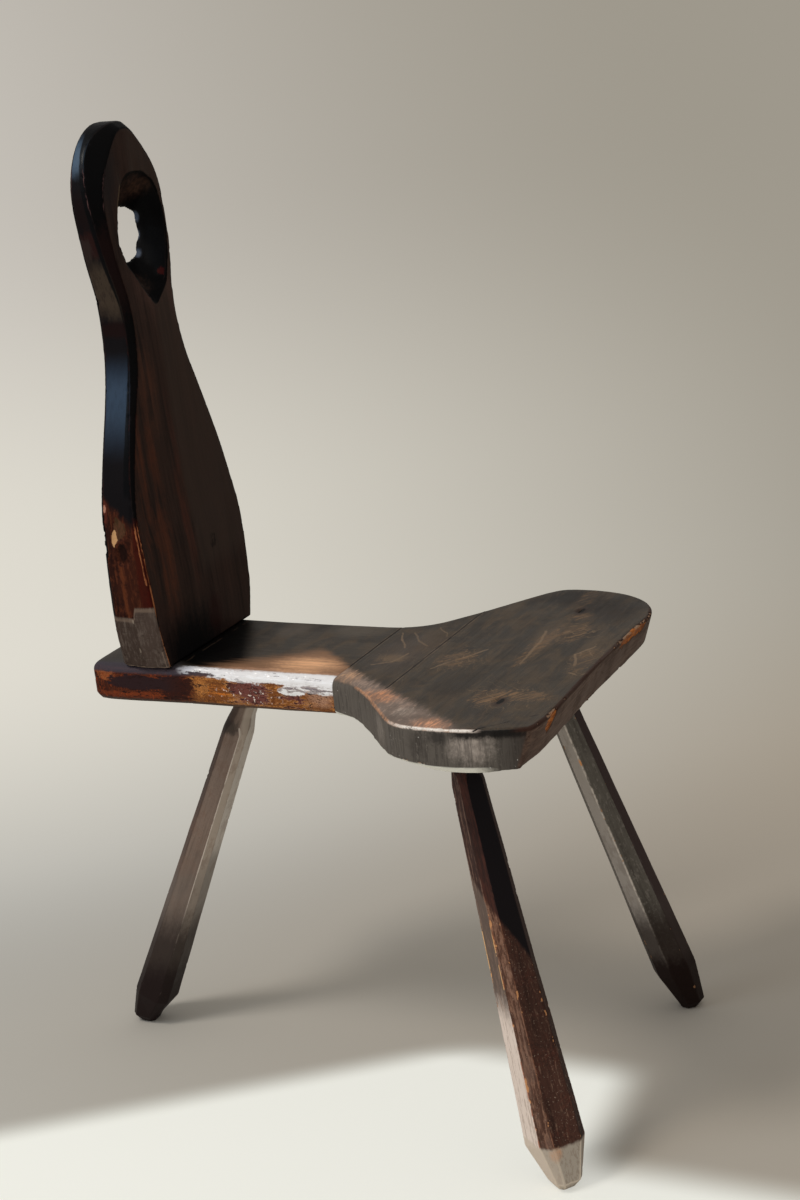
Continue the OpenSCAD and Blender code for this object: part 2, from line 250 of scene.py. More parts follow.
def work_wood(node, name, net, rounds=2, sharper_than=30, joints=(), **weathering):
    piece = copy_solid(node, name)
    tree = arris_tree(piece, sharper_than, [joint for joint, way in joints])
    for joint, way in joints:
        draw_out(piece, joint, way)
    apply_modifier(piece, "REMESH", mode="VOXEL", voxel_size=net * MM, use_smooth_shade=True)
    apply_modifier(piece, "SMOOTH", factor=0.5, iterations=rounds)
    weather(piece, tree, **weathering)
    for joint, way in joints:
        saw_back(piece, joint, way)
    alone(piece)
    bpy.ops.object.shade_smooth()
    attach(piece, "root")
    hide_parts(node)
    return piece


# %% [markdown]
# ## The back plank
# The back is one plank, hewn to a waisted outline with a round head. Its side that faces the light has
# lost its stain below the waist: a flake is missing there, and the foot shows grey bare wood in two flat
# cuts. The grip was opened with a gouge, whose last strokes left a scalloped rim behind and shallow
# facets in front.

# %% Carve the back
GRIP = (0, 158, 768)
back = work_wood(
    "back_plank", "carved_back", 1.55, seed=3, chips=-0.1, hewn=0.35,
    knocks=[((-90, 150, 520), (16, 40, 34), 0.9), ((-90, 132, 480), (10, 12, 60), 0.5),
            ((-50, 160, 725), (12, 20, 60), 0.4)],
    flakes=[((-90, 150, 527), (9, 8, 12), 1.3), ((-91, 148, 508), (9, 6, 13), 1.9),
            ((-88, 158, 424), (9, 13, 36), 0.8)],
    spared=[(GRIP, (42, 40, 66))],
    gouges=[((36, 169, 780), (8, 5, 8), 1.8), ((35, 169, 762), (8, 5, 9), 2.0),
            ((28, 168, 746), (8, 5, 7), 1.8), ((-16, 146, 816), (11, 9, 16), 1.3),
            ((4, 148, 822), (9, 9, 16), 1.3), ((24, 149, 812), (10, 9, 15), 1.2),
            ((36, 147, 790), (7, 8, 14), 1.0), ((20, 152, 727), (10, 9, 15), 1.2),
            ((3, 148, 716), (8, 9, 13), 1.2), ((-14, 150, 728), (10, 9, 15), 1.0),
            ((0, 171, 768), (84, 14, 110), -1.4)])

# %% [markdown]
# ## The three seat boards
# The rear board's grain runs from front to back, and the two front boards' from side to side. Their near
# ends are knocked and rubbed most, and two knots in the lobed board have opened into small cracks.

# %% Work the seat boards
rear_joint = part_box("seat_rear_board")[0].y
front_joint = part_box("seat_middle_board")[0].y
print("joints at", round(rear_joint / MM, 1), "and", round(front_joint / MM, 1), "mm")
rear_groove = (rear_joint, 0.35)
rear_board = work_wood(
    "seat_rear_board", "rear_seat_board", 1.5, seed=11, chips=0.02, joints=[(rear_joint, -1)],
    grooves=[rear_groove], knocks=[((-80, 30, 397), (20, 90, 12), 0.85), ((-80, 190, 372), (12, 22, 8), 0.5)],
    flakes=[((-80, 196, 386), (8, 14, 9), 0.7), ((-80, 150, 373), (8, 26, 5), 0.5),
            ((-80, 80, 380), (8, 15, 9), 0.9), ((-80, 0, 376), (8, 26, 7), 0.7),
            ((-80, -27, 378), (8, 9, 9), 0.7), ((-80, 28, 394), (8, 44, 5), 0.8)],
    gouges=[((-100, -200, 400), (9, 4, 4), 1.5)])
middle_board = work_wood(
    "seat_middle_board", "middle_seat_board", 1.4, seed=17, chips=0.02,
    joints=[(rear_joint, 1), (front_joint, -1)], grooves=[rear_groove])
front_board = work_wood(
    "seat_front_board", "front_seat_board", 1.6, seed=23, chips=0.05, joints=[(front_joint, 1)],
    knocks=[((-160, -170, 400), (30, 30, 12), 0.6), ((-116, -254, 392), (20, 10, 22), 0.9),
            ((85, -250, 396), (60, 12, 14), 0.9)],
    flakes=[((-116, -252, 391), (8, 9, 9), 1.2), ((80, -249, 395), (30, 8, 5), 1.0)],
    gouges=[((-100, -198, 401), (8, 2.4, 5), 2.2), ((124, -182, 401), (8, 3, 5), 2.2)])

# %% [markdown]
# ## The three legs
# Each leg is drawn to eight flats with a drawknife, left thickest at the knee above the foot and pared to
# a blunt tip. A finer net keeps the flats crisp. The near leg is the most knocked.

# %% Work the legs
FLATS = {"net": 0.95, "rounds": 1, "sharper_than": 25, "hewn": 0.45}
leg_right = work_wood("front_leg_right", "near_leg", seed=31, chips=0.1, chip_depth=0.6, **FLATS, knocks=[
    ((-146, -190, 195), (12, 14, 40), 0.8),
    ((-165, -235, 80), (24, 30, 80), 0.35),
])
leg_left = work_wood("front_leg_left", "far_leg", seed=37, chips=0.02, chip_depth=0.6, **FLATS)
leg_rear = work_wood("rear_leg", "back_leg", seed=41, chips=0.02, chip_depth=0.6, **FLATS)

# %% [markdown]
# ## Writing finishes as sums
# A finish is a web of nodes. Wiring a hundred of them by name is hard to read, so one small class wraps a
# socket: adding, subtracting or multiplying wraps adds the Math node. Colours go through Mix nodes and
# places through Vector Math nodes. A step rises smoothly from 0 to 1 between two values, or falls where the
# first is the larger. All places are in millimetres.


# %% A socket that does arithmetic, and a finish that makes nodes
class Wire:
    def __init__(self, finish, socket):
        self.finish, self.socket = finish, socket

    def __add__(self, other):
        return self.finish.maths("ADD", self, other)

    __radd__ = __add__

    def __sub__(self, other):
        return self.finish.maths("SUBTRACT", self, other)

    def __rsub__(self, other):
        return self.finish.maths("SUBTRACT", other, self)

    def __mul__(self, other):
        return self.finish.maths("MULTIPLY", self, other)

    __rmul__ = __mul__

    def part(self, name):
        return Wire(self.finish, self.socket.node.outputs[name])


class Finish:
    def __init__(self, name):
        self.material = bpy.data.materials.new(name)
        self.material.use_nodes = True
        self.nodes, self.links = self.material.node_tree.nodes, self.material.node_tree.links
        self.shader = self.nodes["Principled BSDF"]
        self.place = self.vector("MULTIPLY", self.node("ShaderNodeTexCoord", out="Object"), (1 / MM,) * 3)
        self.x = self.node("ShaderNodeSeparateXYZ", {}, {"Vector": self.place}, out="X")
        self.y, self.z = self.x.part("Y"), self.x.part("Z")

    def node(self, kind, settings=None, sockets=None, out=0):
        made = self.nodes.new(kind)
        for name, value in (settings or {}).items():
            setattr(made, name, value)
        for name, value in (sockets or {}).items():
            self.plug(made.inputs[name], value)
        return Wire(self, made.outputs[out])

    def plug(self, socket, value):
        if isinstance(value, Wire):
            self.links.new(value.socket, socket)
        else:
            socket.default_value = value

    def maths(self, operation, *values):
        return self.node("ShaderNodeMath", {"operation": operation}, dict(enumerate(values)))

    def vector(self, operation, *values, out="Vector"):
        return self.node("ShaderNodeVectorMath", {"operation": operation}, dict(enumerate(values)), out)

    def mix(self, share, low, high):
        return self.node("ShaderNodeMix", {"data_type": "RGBA"}, {0: share, 6: low, 7: high}, out=2)

    def step(self, low, high, value):
        settings = {"interpolation_type": "SMOOTHSTEP"}
        return self.node("ShaderNodeMapRange", settings, {"Value": value, "From Min": low, "From Max": high})

    def clouds(self, place, size, detail=3, roughness=0.5, distortion=0.0, out="Fac"):
        sockets = {"Vector": self.vector("MULTIPLY", place, tuple(1 / s for s in size)), "Scale": 1,
                   "Detail": detail, "Roughness": roughness, "Distortion": distortion}
        return self.node("ShaderNodeTexNoise", {}, sockets, out)

    def kept(self, name):
        return self.node("ShaderNodeAttribute", {"attribute_name": name}, out="Fac")

    def finished(self, **sockets):
        for name, value in sockets.items():
            self.plug(self.shader.inputs[name.replace("_", " ")], value)
        return self.material


def colour(red, green, blue):
    def linear(value):
        value /= 255
        return value / 12.92 if value <= 0.04045 else ((value + 0.055) / 1.055) ** 2.4
    return (linear(red), linear(green), linear(blue), 1.0)


# %% [markdown]
# ## The grain
# Wood is a stack of cones round a pith line. Distance from that line, bent a little by noise that is
# stretched along the grain, gives growth rings that read as long bands on a face and as arcs on an end.
# Finer noise, stretched further, gives streaks, fibres and pores. Everything else on this old wood lies
# over that: stain, rubbed and flaked places, scratches, grime. Each is a mask and a colour laid over the
# one before. A patch is a round place and a stroke is a line, and both get a torn rim from one more noise.


# %% Wood: grain first, then layers
def along_grain(axis, across, length):
    size = [across] * 3
    size[axis] = length
    return size


class Wood(Finish):
    def __init__(self, name, axis, pith, spacing=6.0, wander=2.5, turn=(0, 0, 0)):
        """axis is 0, 1 or 2 for grain along X, Y or Z; pith is a point on the pith line, in mm"""
        super().__init__(name)
        self.run = self.node("ShaderNodeMapping", {}, {"Vector": self.place, "Rotation": turn})
        bend = self.clouds(self.run, along_grain(axis, 40, 420), detail=2) - 0.5
        radius = self.distance(pith, along_grain(axis, 1.0, 0.0), self.run)
        turns = self.maths("FRACT", radius * (1 / spacing) + bend * (wander * 4))
        self.ring = self.step(0.15, 0.95, turns) - self.step(0.95, 1.0, turns)
        self.fibre = self.clouds(self.run, along_grain(axis, 0.9, 60), detail=5, roughness=0.65)
        self.streak = self.clouds(self.run, along_grain(axis, 3, 130), detail=4, roughness=0.6)
        self.band = self.clouds(self.run, along_grain(axis, 15, 230), detail=3, roughness=0.6)
        self.pores = self.step(0.60, 0.68, self.clouds(self.run, along_grain(axis, 0.8, 9), detail=2))
        self.mottle = self.clouds(self.place, (24,) * 3, detail=4, roughness=0.6)
        self.grime = self.clouds(self.place, (3.4,) * 3, detail=3, roughness=0.6)
        torn = self.clouds(self.run, along_grain(axis, 5, 18), detail=6, roughness=0.7, distortion=0.4)
        self.ragged = (torn - 0.5) * 2.4 + (self.grime - 0.5) * 1.2
        self.crazing = self.clouds(self.run, along_grain(axis, 2.2, 9), detail=5, roughness=0.7)
        drift = self.clouds(self.place, (16,) * 3, detail=3, out="Color")
        drift = self.vector("MULTIPLY", self.vector("SUBTRACT", drift, (0.5,) * 3), (5,) * 3)
        self.drifting = self.vector("ADD", self.place, drift)
        self.arris, self.chip, self.flake = self.kept("arris"), self.kept("chip"), self.kept("flake")
        faces = {index: self.kept("faces_" + letter) for index, letter in enumerate("xyz")}
        self.faces = self.node("ShaderNodeCombineXYZ", {}, faces)
        self.rough = 0.5 + (self.mottle - 0.5) * 0.3 + (self.fibre - 0.5) * 0.2
        self.gloss = 0.0

    def distance(self, centre, per_axis=(1, 1, 1), place=None):
        away = self.vector("SUBTRACT", place or self.place, tuple(centre))
        return self.vector("LENGTH", self.vector("MULTIPLY", away, tuple(per_axis)), out="Value")

    def patch(self, centre, reach, ragged=0.5, soft=0.3):
        away = self.distance(centre, [1 / r for r in reach])
        return 1 - self.step(1 - soft, 1.0, away + self.ragged * ragged)

    def stroke(self, start, end, width, soft=0.6, ragged=0.3):
        run = Vector(end) - Vector(start)
        away = self.vector("SUBTRACT", self.drifting, tuple(start))
        share = self.vector("DOT_PRODUCT", away, tuple(run / run.length_squared), out="Value")
        share = self.node("ShaderNodeClamp", {}, {"Value": share})
        nearest = self.node("ShaderNodeVectorMath", {"operation": "SCALE"}, {0: tuple(run), 3: share})
        gap = self.vector("DISTANCE", away, nearest, out="Value")
        return 1 - self.step(width * (1 - soft), width, gap + self.ragged * (width * ragged))

    def broken(self, low, high, **shares):
        """a mask with a broken rim, where a sum of named patterns passes from low to high"""
        first, *others = [getattr(self, name) * share for name, share in shares.items()]
        return self.step(low, high, sum(others, first))

    def facing(self, direction, low=0.6, high=0.85):
        return self.step(low, high, self.vector("DOT_PRODUCT", self.faces, tuple(direction), out="Value"))

    def over(self, share, *rgb):
        self.paint = self.mix(share, self.paint, colour(*rgb))

    def patches(self, within, *rows):
        """patches laid one over another; a row is a centre, a reach, ragged, soft, a share and a colour"""
        for centre, reach, ragged, soft, share, rgb in rows:
            self.over(within * self.patch(centre, reach, ragged, soft) * share, *rgb)

    def stain(self, deep, mid, light, contrast=1.0):
        bands = self.band * 0.45 + self.streak * 0.35 + self.mottle * 0.2
        self.paint = self.mix(self.step(0.36, 0.56, bands + self.ring * 0.05), colour(*deep), colour(*mid))
        self.over(self.step(0.50, 0.68, bands) * contrast, *light)
        self.over(self.step(0.50, 0.75, self.fibre) * (0.5 * contrast), *deep)
        self.over(self.pores * (0.5 * contrast), *deep)

    def varnished(self, depth=0.4, specular=0.1, coat_roughness=0.2):
        height = self.fibre * 0.6 + self.streak * 0.3 + self.mottle * 0.6
        height = height + self.grime * 0.25 - self.pores * 0.15
        sockets = {"Strength": 0.4, "Distance": depth * MM, "Height": height}
        bump = self.node("ShaderNodeBump", {}, sockets, out="Normal")
        self.shader.inputs["Specular IOR Level"].default_value = specular
        self.shader.inputs["Coat Roughness"].default_value = coat_roughness
        return self.finished(Base_Color=self.paint, Roughness=self.rough, Normal=bump, Coat_Weight=self.gloss)


def dress(piece, material):
    piece.data.materials.clear()
    piece.data.materials.append(material)
    print(f"  {piece.name}: {material.name}, {len(material.node_tree.nodes)} nodes")


# %% [markdown]
# ## The plank's finish: the face
# The face is nearly black stain that reddish streaks run up through. Left of its middle the stain is
# warmer, right of it greyer, and the border between them is one grain line. A painted shade makes it
# blackest at the foot. The hewn bevels kept all of their stain, and the inside of the grip is painted
# nearly black as shade.

# %% Finish the plank's face
wood = Wood("stained plank", 2, (25, 60, 0), spacing=9)
wood.stain((33, 22, 19), (49, 34, 29), (64, 45, 38), contrast=0.55)
wood.over(wood.step(-10, 2, wood.x + wood.ragged * 3) * wood.step(455, 480, wood.z) * 0.5, 64, 52, 46)
warm = wood.broken(0.40, 0.64, band=0.6, streak=0.15, mottle=0.25)
wood.patches(
    warm,
    ((-60, 126, 545), (28, 50, 130), 0.3, 0.6, 0.75, (92, 47, 28)),
    ((-12, 124, 545), (12, 40, 110), 0.3, 0.7, 0.6, (82, 42, 30)),
    ((-38, 134, 640), (22, 40, 60), 0.3, 0.7, 0.6, (84, 50, 36)),
    ((0, 130, 730), (70, 40, 60), 0.3, 0.7, 0.5, (84, 60, 53)),
)
wood.over(wood.patch((-44, 150, 826), (30, 40, 46), 0.3, 0.7) * 0.7, 28, 25, 27)
small_knot = wood.patch((22, 122, 487), (7, 20, 8), 0.7, 0.5)
wood.over(small_knot * wood.step(0.45, 0.55, wood.crazing) * 0.8, 22, 15, 13)
# painted shade: the foot of the face is made nearly black
wood.over(wood.patch((-38, 124, 404), (70, 40, 56), 0.3, 0.7) * 0.96, 9, 8, 9)
wood.over(wood.patch((6, 124, 424), (14, 30, 22), 0.4, 0.6) * 0.6, 40, 13, 11)
turned = wood.maths("ABSOLUTE", wood.node("ShaderNodeSeparateXYZ", {}, {"Vector": wood.faces}, out="Y"))
bevel = wood.step(0.25, 0.5, turned) * (1 - wood.step(0.93, 0.985, turned))
edge = 1 - wood.step(0.25, 0.5, turned)
wood.over(bevel * 0.98, 3, 3, 4)
wood.over(bevel * wood.patch((-52, 146, 745), (30, 20, 50), 0.4, 0.5) * 0.6, 30, 14, 13)

# %% [markdown]
# ## The plank's finish: the near edge
# The edge that faces the light has a cool reflection painted into its colour in the waist and on the
# head. Between them lie an olive, a dark red and a purple-brown part where the varnish thinned. Below the
# waist it is down to red-brown wood with a cream flake, rubbed orange along the front arris, and the foot
# is bare and grey where it was cut back in two flats.

# %% Finish the plank's near edge
near = edge * wood.step(-10, -30, wood.x)
wood.over(edge * 0.97, 15, 13, 16)
wood.patches(
    near,
    ((-70, 157, 796), (40, 30, 26), 0.3, 0.6, 1.0, (22, 13, 14)),
    ((-55, 150, 768), (30, 40, 15), 0.3, 0.5, 1.0, (38, 19, 18)),
    ((-55, 165, 764), (30, 9, 14), 0.5, 0.5, 0.8, (46, 36, 34)),
)
olive = near * wood.patch((-55, 150, 728), (40, 40, 34), 0.2, 0.6)
wood.over(olive, 64, 53, 44)
wood.over(olive * wood.step(0.48, 0.62, wood.crazing) * 0.6, 44, 34, 30)
wood.patches(
    near,
    ((-55, 143, 740), (30, 8, 14), 0.4, 0.5, 0.7, (40, 27, 26)),
    ((-55, 150, 694), (40, 40, 10), 0.2, 0.6, 1.0, (26, 13, 13)),
)
# painted reflection: a cool bluish band of light painted into the colour at the waist
painted_sheen = wood.maths("MAXIMUM", wood.z - 638, (638 - wood.z) * 0.7) + wood.ragged * 2
painted_sheen = near * (1 - wood.step(2, 40, painted_sheen))
wood.over(painted_sheen * 0.95, 48, 64, 84)
wood.over(painted_sheen * wood.step(0.46, 0.64, wood.streak) * 0.3, 30, 38, 52)
# painted reflection: the same cool light painted on the head
painted_head_sheen = near * wood.patch((-62, 172, 842), (60, 34, 22), 0.15, 0.7)
wood.over(painted_head_sheen, 70, 88, 108)
bevel_line = wood.y - wood.maths("MAXIMUM", (wood.z - 690) * 0.14, 0) + wood.ragged * 0.8
wood.over(near * wood.step(143.4, 142.0, bevel_line) * wood.step(552, 562, wood.z) * 0.95, 6, 6, 8)

# %% Where the near edge is down to red-brown wood
body_top = wood.step(556, 545, wood.z + (wood.y - 160) * -0.8 + wood.ragged * 5)
body = near * body_top
wood.over(body, 56, 26, 17)
wood.over(body * wood.step(154, 160, wood.y + wood.ragged * 2) * 0.85, 40, 18, 13)
worn = wood.broken(0.49, 0.56, crazing=0.45, streak=0.35, mottle=0.2)
wood.over(body * worn * 0.75, 90, 46, 28)
wood.over(body * wood.broken(0.50, 0.58, grime=0.4, mottle=0.6) * 0.6, 28, 11, 9)
wood.over(body * wood.stroke((-92, 150, 495), (-92, 151, 450), 2.6) * 0.6, 104, 54, 30)
outer = wood.step(-40, -60, wood.x)
arris_rub = outer * wood.step(137.5, 133.5, wood.y + wood.ragged * 2) * wood.step(124, 127, wood.y)
arris_rub = arris_rub * wood.step(540, 530, wood.z + wood.ragged * 8) * wood.step(456, 461, wood.z)
wood.over(arris_rub * wood.facing((-1, 0, 0), 0.1, 0.4) * (0.6 + worn * 0.35), 62, 14, 7)
flake = near * wood.patch((-90, 150, 529), (14, 7, 10), 0.5, 0.15)
wood.over(flake, 84, 54, 38)
wood.over(flake * wood.step(0.48, 0.56, wood.crazing), 66, 46, 30)
cream = near * wood.patch((-90, 155, 522), (14, 2.6, 8), 0.7, 0.2)
wood.over(cream * 0.9, 204, 158, 112)
wood.over(near * wood.patch((-90, 147.5, 509), (14, 4.6, 10), 0.6, 0.25) * 0.9, 24, 10, 8)
wood.over(near * wood.stroke((-90, 153.5, 515), (-90, 148, 497), 1.1) * 0.8, 158, 100, 62)
rim_rub_and_highlight = near * wood.patch((-80, 163, 541), (20, 4, 14), 0.6, 0.4)
wood.over(rim_rub_and_highlight * 0.9, 84, 38, 28)
# painted highlight: a pale pink line of light along the rubbed rim
wood.over(rim_rub_and_highlight * wood.patch((-80, 163, 546), (20, 2, 4), 0.6, 0.3), 176, 124, 104)

# %% Finish the plank's bare foot
rear_cut = wood.step(143, 147, wood.y)
foot_top = wood.step(460, 457, wood.z + rear_cut * 10 + wood.ragged * 1.2)
foot = outer * foot_top * wood.facing((-1, 0, 0), 0.35, 0.7)
wood.over(foot, 76, 63, 57)
wood.over(foot * rear_cut * 0.7, 60, 48, 42)
wood.over(foot * wood.broken(0.50, 0.60, streak=0.6, mottle=0.4) * 0.6, 106, 94, 86)
wood.over(foot * wood.broken(0.54, 0.62, grime=0.5, mottle=0.5) * 0.6, 48, 37, 33)
wood.over(foot * wood.step(0.52, 0.60, wood.crazing) * 0.3, 108, 95, 87)
wood.over(foot * wood.step(0.60, 0.66, wood.clouds(wood.place, (20, 12, 1.2), detail=3)) * 0.35, 44, 35, 31)
wood.over(foot * wood.stroke((-92, 145, 462), (-92, 145.5, 402), 0.8) * 0.7, 36, 27, 24)
from_cut = wood.maths("ABSOLUTE", wood.z + rear_cut * 10 - 457)
wood.over(foot * wood.step(3.4, 1.0, from_cut) * 0.5, 132, 112, 98)
for centre in ((-92, 147, 446), (-92, 147, 418)):
    wood.over(foot * wood.patch(centre, (9, 1.4, 3), 0.8, 0.5) * 0.6, 150, 136, 122)
for height in (437, 410):
    wood.over(foot * wood.stroke((-92, 134, height), (-92, 166, height + 3), 0.7) * 0.6, 40, 30, 26)
wood.over(foot_top * wood.step(-70, -80, wood.x) * wood.step(401.5, 400.5, wood.z) * 0.8, 150, 130, 116)

# %% Its old scratches and rubbed rims
for start, end, width in (
    ((-53, 141, 737), (-53, 148, 739), 0.8),
    ((-70, 136, 581), (-70, 158, 583), 0.9),
    ((-50, 139, 672), (-50, 150, 677), 0.5),
    ((-50, 146, 661), (-50, 152, 664), 0.5),
    ((-52, 144, 748), (-52, 147, 745), 0.6),
):
    wood.over(near * wood.stroke(start, end, width) * 0.8, 128, 122, 134)
rim = wood.step(-35, -50, wood.x) * wood.step(0.93, 0.99, wood.arris) * wood.step(0.42, 0.56, wood.mottle)
wood.over(rim * wood.step(780, 795, wood.z) * wood.step(838, 826, wood.z) * 0.7, 112, 80, 80)
wood.over(rim * wood.step(540, 560, wood.z) * wood.step(720, 700, wood.z) * 0.5, 62, 26, 22)
front_line = outer * wood.step(0.90, 0.98, wood.arris) * wood.step(140, 136, wood.y)
front_line = front_line * wood.step(536, 526, wood.z) * wood.broken(0.36, 0.50, mottle=0.5, crazing=0.5)
wood.over(front_line * (1 - foot) * 0.8, 178, 112, 72)
wood.over(front_line * foot * 0.5, 150, 130, 116)

# %% [markdown]
# ## The plank's finish: the grip
# Inside the grip the wood is painted nearly black as shade. Where the gouge broke out at the back its
# scalloped cuts get painted cool highlights, two facets above are tan and streaked, and the thin left rim
# gets a painted olive-tan highlight.

# %% Finish the grip
around = wood.patch((0, 158, 768), (43, 60, 66), 0.0, 0.05)
depth_in = wood.y - wood.z * 0.0577
inside = around * wood.step(97.9, 100.0, depth_in) * (1 - wood.facing((0, 1, -0.06), 0.90, 0.97))
# painted shade: the inside of the grip is made nearly black
wood.over(inside * 0.97, 9, 8, 9)
gouged = 0.35 + wood.broken(0.44, 0.60, streak=0.6, crazing=0.4) * 0.65
wood.patches(
    inside * gouged,
    ((6, 156, 806), (34, 30, 20), 0.2, 0.7, 0.9, (60, 42, 36)),
    ((20, 156, 808), (20, 16, 10), 0.3, 0.6, 0.5, (76, 54, 42)),
    ((-10, 152, 726), (28, 20, 18), 0.3, 0.7, 0.9, (62, 46, 40)),
)
# painted highlights: cool light on the three scalloped cuts
for centre in ((36, 169, 779), (35, 170, 762), (28, 167, 746)):
    wood.over(inside * wood.patch(centre, (7, 4.5, 7), 0.2, 0.6) * 0.85, 76, 84, 100)
wood.over(inside * wood.patch((24, 143, 732), (4, 5, 4), 0.9, 0.5) * 0.6, 84, 22, 17)
# painted highlight: olive-tan light on the thin left rim
left_rim_highlight = around * (1 - inside) * wood.step(0.5, 0.9, wood.arris)
left_rim_highlight = left_rim_highlight * wood.patch((-26, 143, 800), (12, 12, 20), 0.5, 0.4)
wood.over(left_rim_highlight * 0.8, 98, 80, 60)
wood.gloss = (painted_sheen + painted_head_sheen) * 0.1
wood.rough = wood.rough + body * 0.1 + foot * 0.25
dress(back, wood.varnished(specular=0.05, coat_roughness=0.24))

# %% [markdown]
# ## The rear board's finish
# The top is a dull taupe, and the plank's shadow is painted nearly black before the plank. Beside that
# shadow lies a patch of painted sunlight, tan and streaked along the grain. A white highlight is painted
# on the near arris. Below it, the near side shows raw orange wood between purple-brown and black remains
# of varnish.


# %% What the tops of all three boards share
SEAT_TOP = round(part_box("seat_front_board")[1].z / MM)
print("the seat's top is at", SEAT_TOP, "mm")


def on_seat(wood, within, *rows):
    """the same rows as for patches, with centres and reaches that give only x and y"""
    wood.patches(within, *[((*centre, SEAT_TOP), (*reach, 20), *rest) for centre, reach, *rest in rows])


def seat_top(wood, joints):
    wood.stain((56, 50, 45), (70, 63, 56), (86, 76, 66), contrast=0.6)
    wood.lines = wood.clouds(wood.drifting, (52, 22, 30), detail=3, roughness=0.6, distortion=1.1)
    contour = 1 - wood.step(0.0, 0.05, wood.maths("ABSOLUTE", wood.maths("FRACT", wood.lines * 9) - 0.5))
    wood.over(contour * wood.broken(0.44, 0.60, mottle=0.7, band=0.3) * 0.5, 120, 98, 76)
    wood.over(wood.step(0.52, 0.66, wood.mottle) * 0.45, 54, 50, 48)
    wood.over(wood.step(0.46, 0.62, wood.lines) * 0.4, 92, 76, 60)
    wood.over(wood.step(0.46, 0.34, wood.lines) * 0.35, 56, 54, 53)
    for joint in joints:
        gap = wood.maths("ABSOLUTE", wood.y - joint / MM)
        wood.over(wood.step(2.6, 1.4, gap) * wood.step(0.44, 0.56, wood.crazing) * 0.5, 116, 98, 82)
        wood.over(wood.step(1.1, 0.5, gap) * 0.9, 16, 12, 10)


def near_side(wood):
    return wood.facing((-1, 0, 0), 0.45, 0.75) * wood.step(0, -20, wood.x)


# %% Finish the rear board's top
wood = Wood("stained rear board", 1, (20, 0, 335), spacing=8)
seat_top(wood, [rear_joint])
up = wood.facing((0, 0, 1), 0.5, 0.8)
on_seat(
    wood, up,
    ((48, 20), (24, 70), 0.3, 0.7, 0.6, (52, 47, 44)),
    ((36, 62), (30, 22), 0.3, 0.7, 0.6, (96, 86, 77)),
    ((44, 0), (26, 40), 0.3, 0.8, 0.6, (100, 91, 81)),
)
streaky = wood.ragged * 3 + (wood.streak - 0.5) * 26
plank_shadow_line = wood.y - wood.x * 0.505 - 89 + streaky * 0.5
shadow_edge = wood.x + wood.y * -0.456 + 125 + streaky * 0.2
# painted shadow: the plank's shadow on the seat top, nearly black
wood.over(wood.step(-12, 8, plank_shadow_line) * wood.step(-4, 14, shadow_edge) * up * 0.98, 4, 3, 3)
wood.over(wood.step(112, 124, wood.y) * wood.step(-58, -70, wood.x) * up * 0.8, 60, 56, 60)
wood.over(wood.step(158, 170, wood.y) * up * 0.6, 64, 59, 56)
# painted sunlight: a tan patch of light beside the plank's shadow, streaked along the grain
rear_limit = wood.step(10, -16, wood.x * 0.83 + wood.y * 0.558 + 3.9 + streaky)
front_limit = wood.step(3, -7, wood.x * 0.758 - wood.y * 0.652 + 9.3 + streaky * 0.4)
wedge = rear_limit * front_limit * up
wood.over(wedge * 0.9, 142, 106, 80)
core = wood.patch((-50, 2, SEAT_TOP), (28, 46, 20), 0.3, 0.9)
on_seat(wood, wedge, ((-70, 20), (9, 90), 0.4, 0.6, 0.5, (196, 150, 122)))
wood.over(wedge * core * (0.62 + wood.step(0.42, 0.58, wood.streak) * 0.38), 244, 186, 140)
wood.over(wedge * wood.step(0.54, 0.66, wood.fibre) * 0.45, 112, 78, 56)
wood.over(wood.stroke((-60, 119, SEAT_TOP), (62, 119, SEAT_TOP), 0.9) * up * 0.5, 96, 78, 64)

# %% Finish the rear board's near side
side = near_side(wood)
golden = side * wood.step(114, 96, wood.y + wood.ragged * 8)
wood.over(side, 62, 27, 17)
wood.over(golden, 134, 80, 40)
light = wood.broken(0.46, 0.56, streak=0.4, crazing=0.4, mottle=0.2)
wood.over(golden * light * 0.9, 208, 138, 68)
wood.over((side - golden) * light * 0.6, 112, 50, 24)
wood.patches(
    side,
    ((-80, -24, 382), (14, 18, 14), 0.3, 0.7, 0.8, (190, 146, 120)),
    ((-80, 165, 373), (14, 42, 4.5), 0.4, 0.5, 0.9, (122, 54, 26)),
    ((-80, 193, 390), (14, 13, 6), 0.6, 0.3, 0.9, (160, 90, 50)),
    ((-80, 96, 384), (14, 9, 10), 0.5, 0.5, 0.8, (196, 128, 66)),
    ((-80, 79, 380), (14, 12, 9), 0.6, 0.4, light, (226, 128, 48)),
)
wood.over(side * wood.broken(0.52, 0.60, mottle=0.4, crazing=0.6) * 0.55, 58, 28, 19)
red_lines = wood.maths("ABSOLUTE", wood.maths("FRACT", wood.lines * 14 + wood.grime) - 0.5)
wood.over((side - golden) * wood.step(0.14, 0.03, red_lines) * 0.7, 156, 66, 26)
growth = wood.maths("FRACT", wood.lines * 22 + wood.streak * 2)
wood.over(side * wood.step(0.2, 0.4, growth) * wood.step(0.9, 0.5, growth) * 0.6, 84, 42, 24)

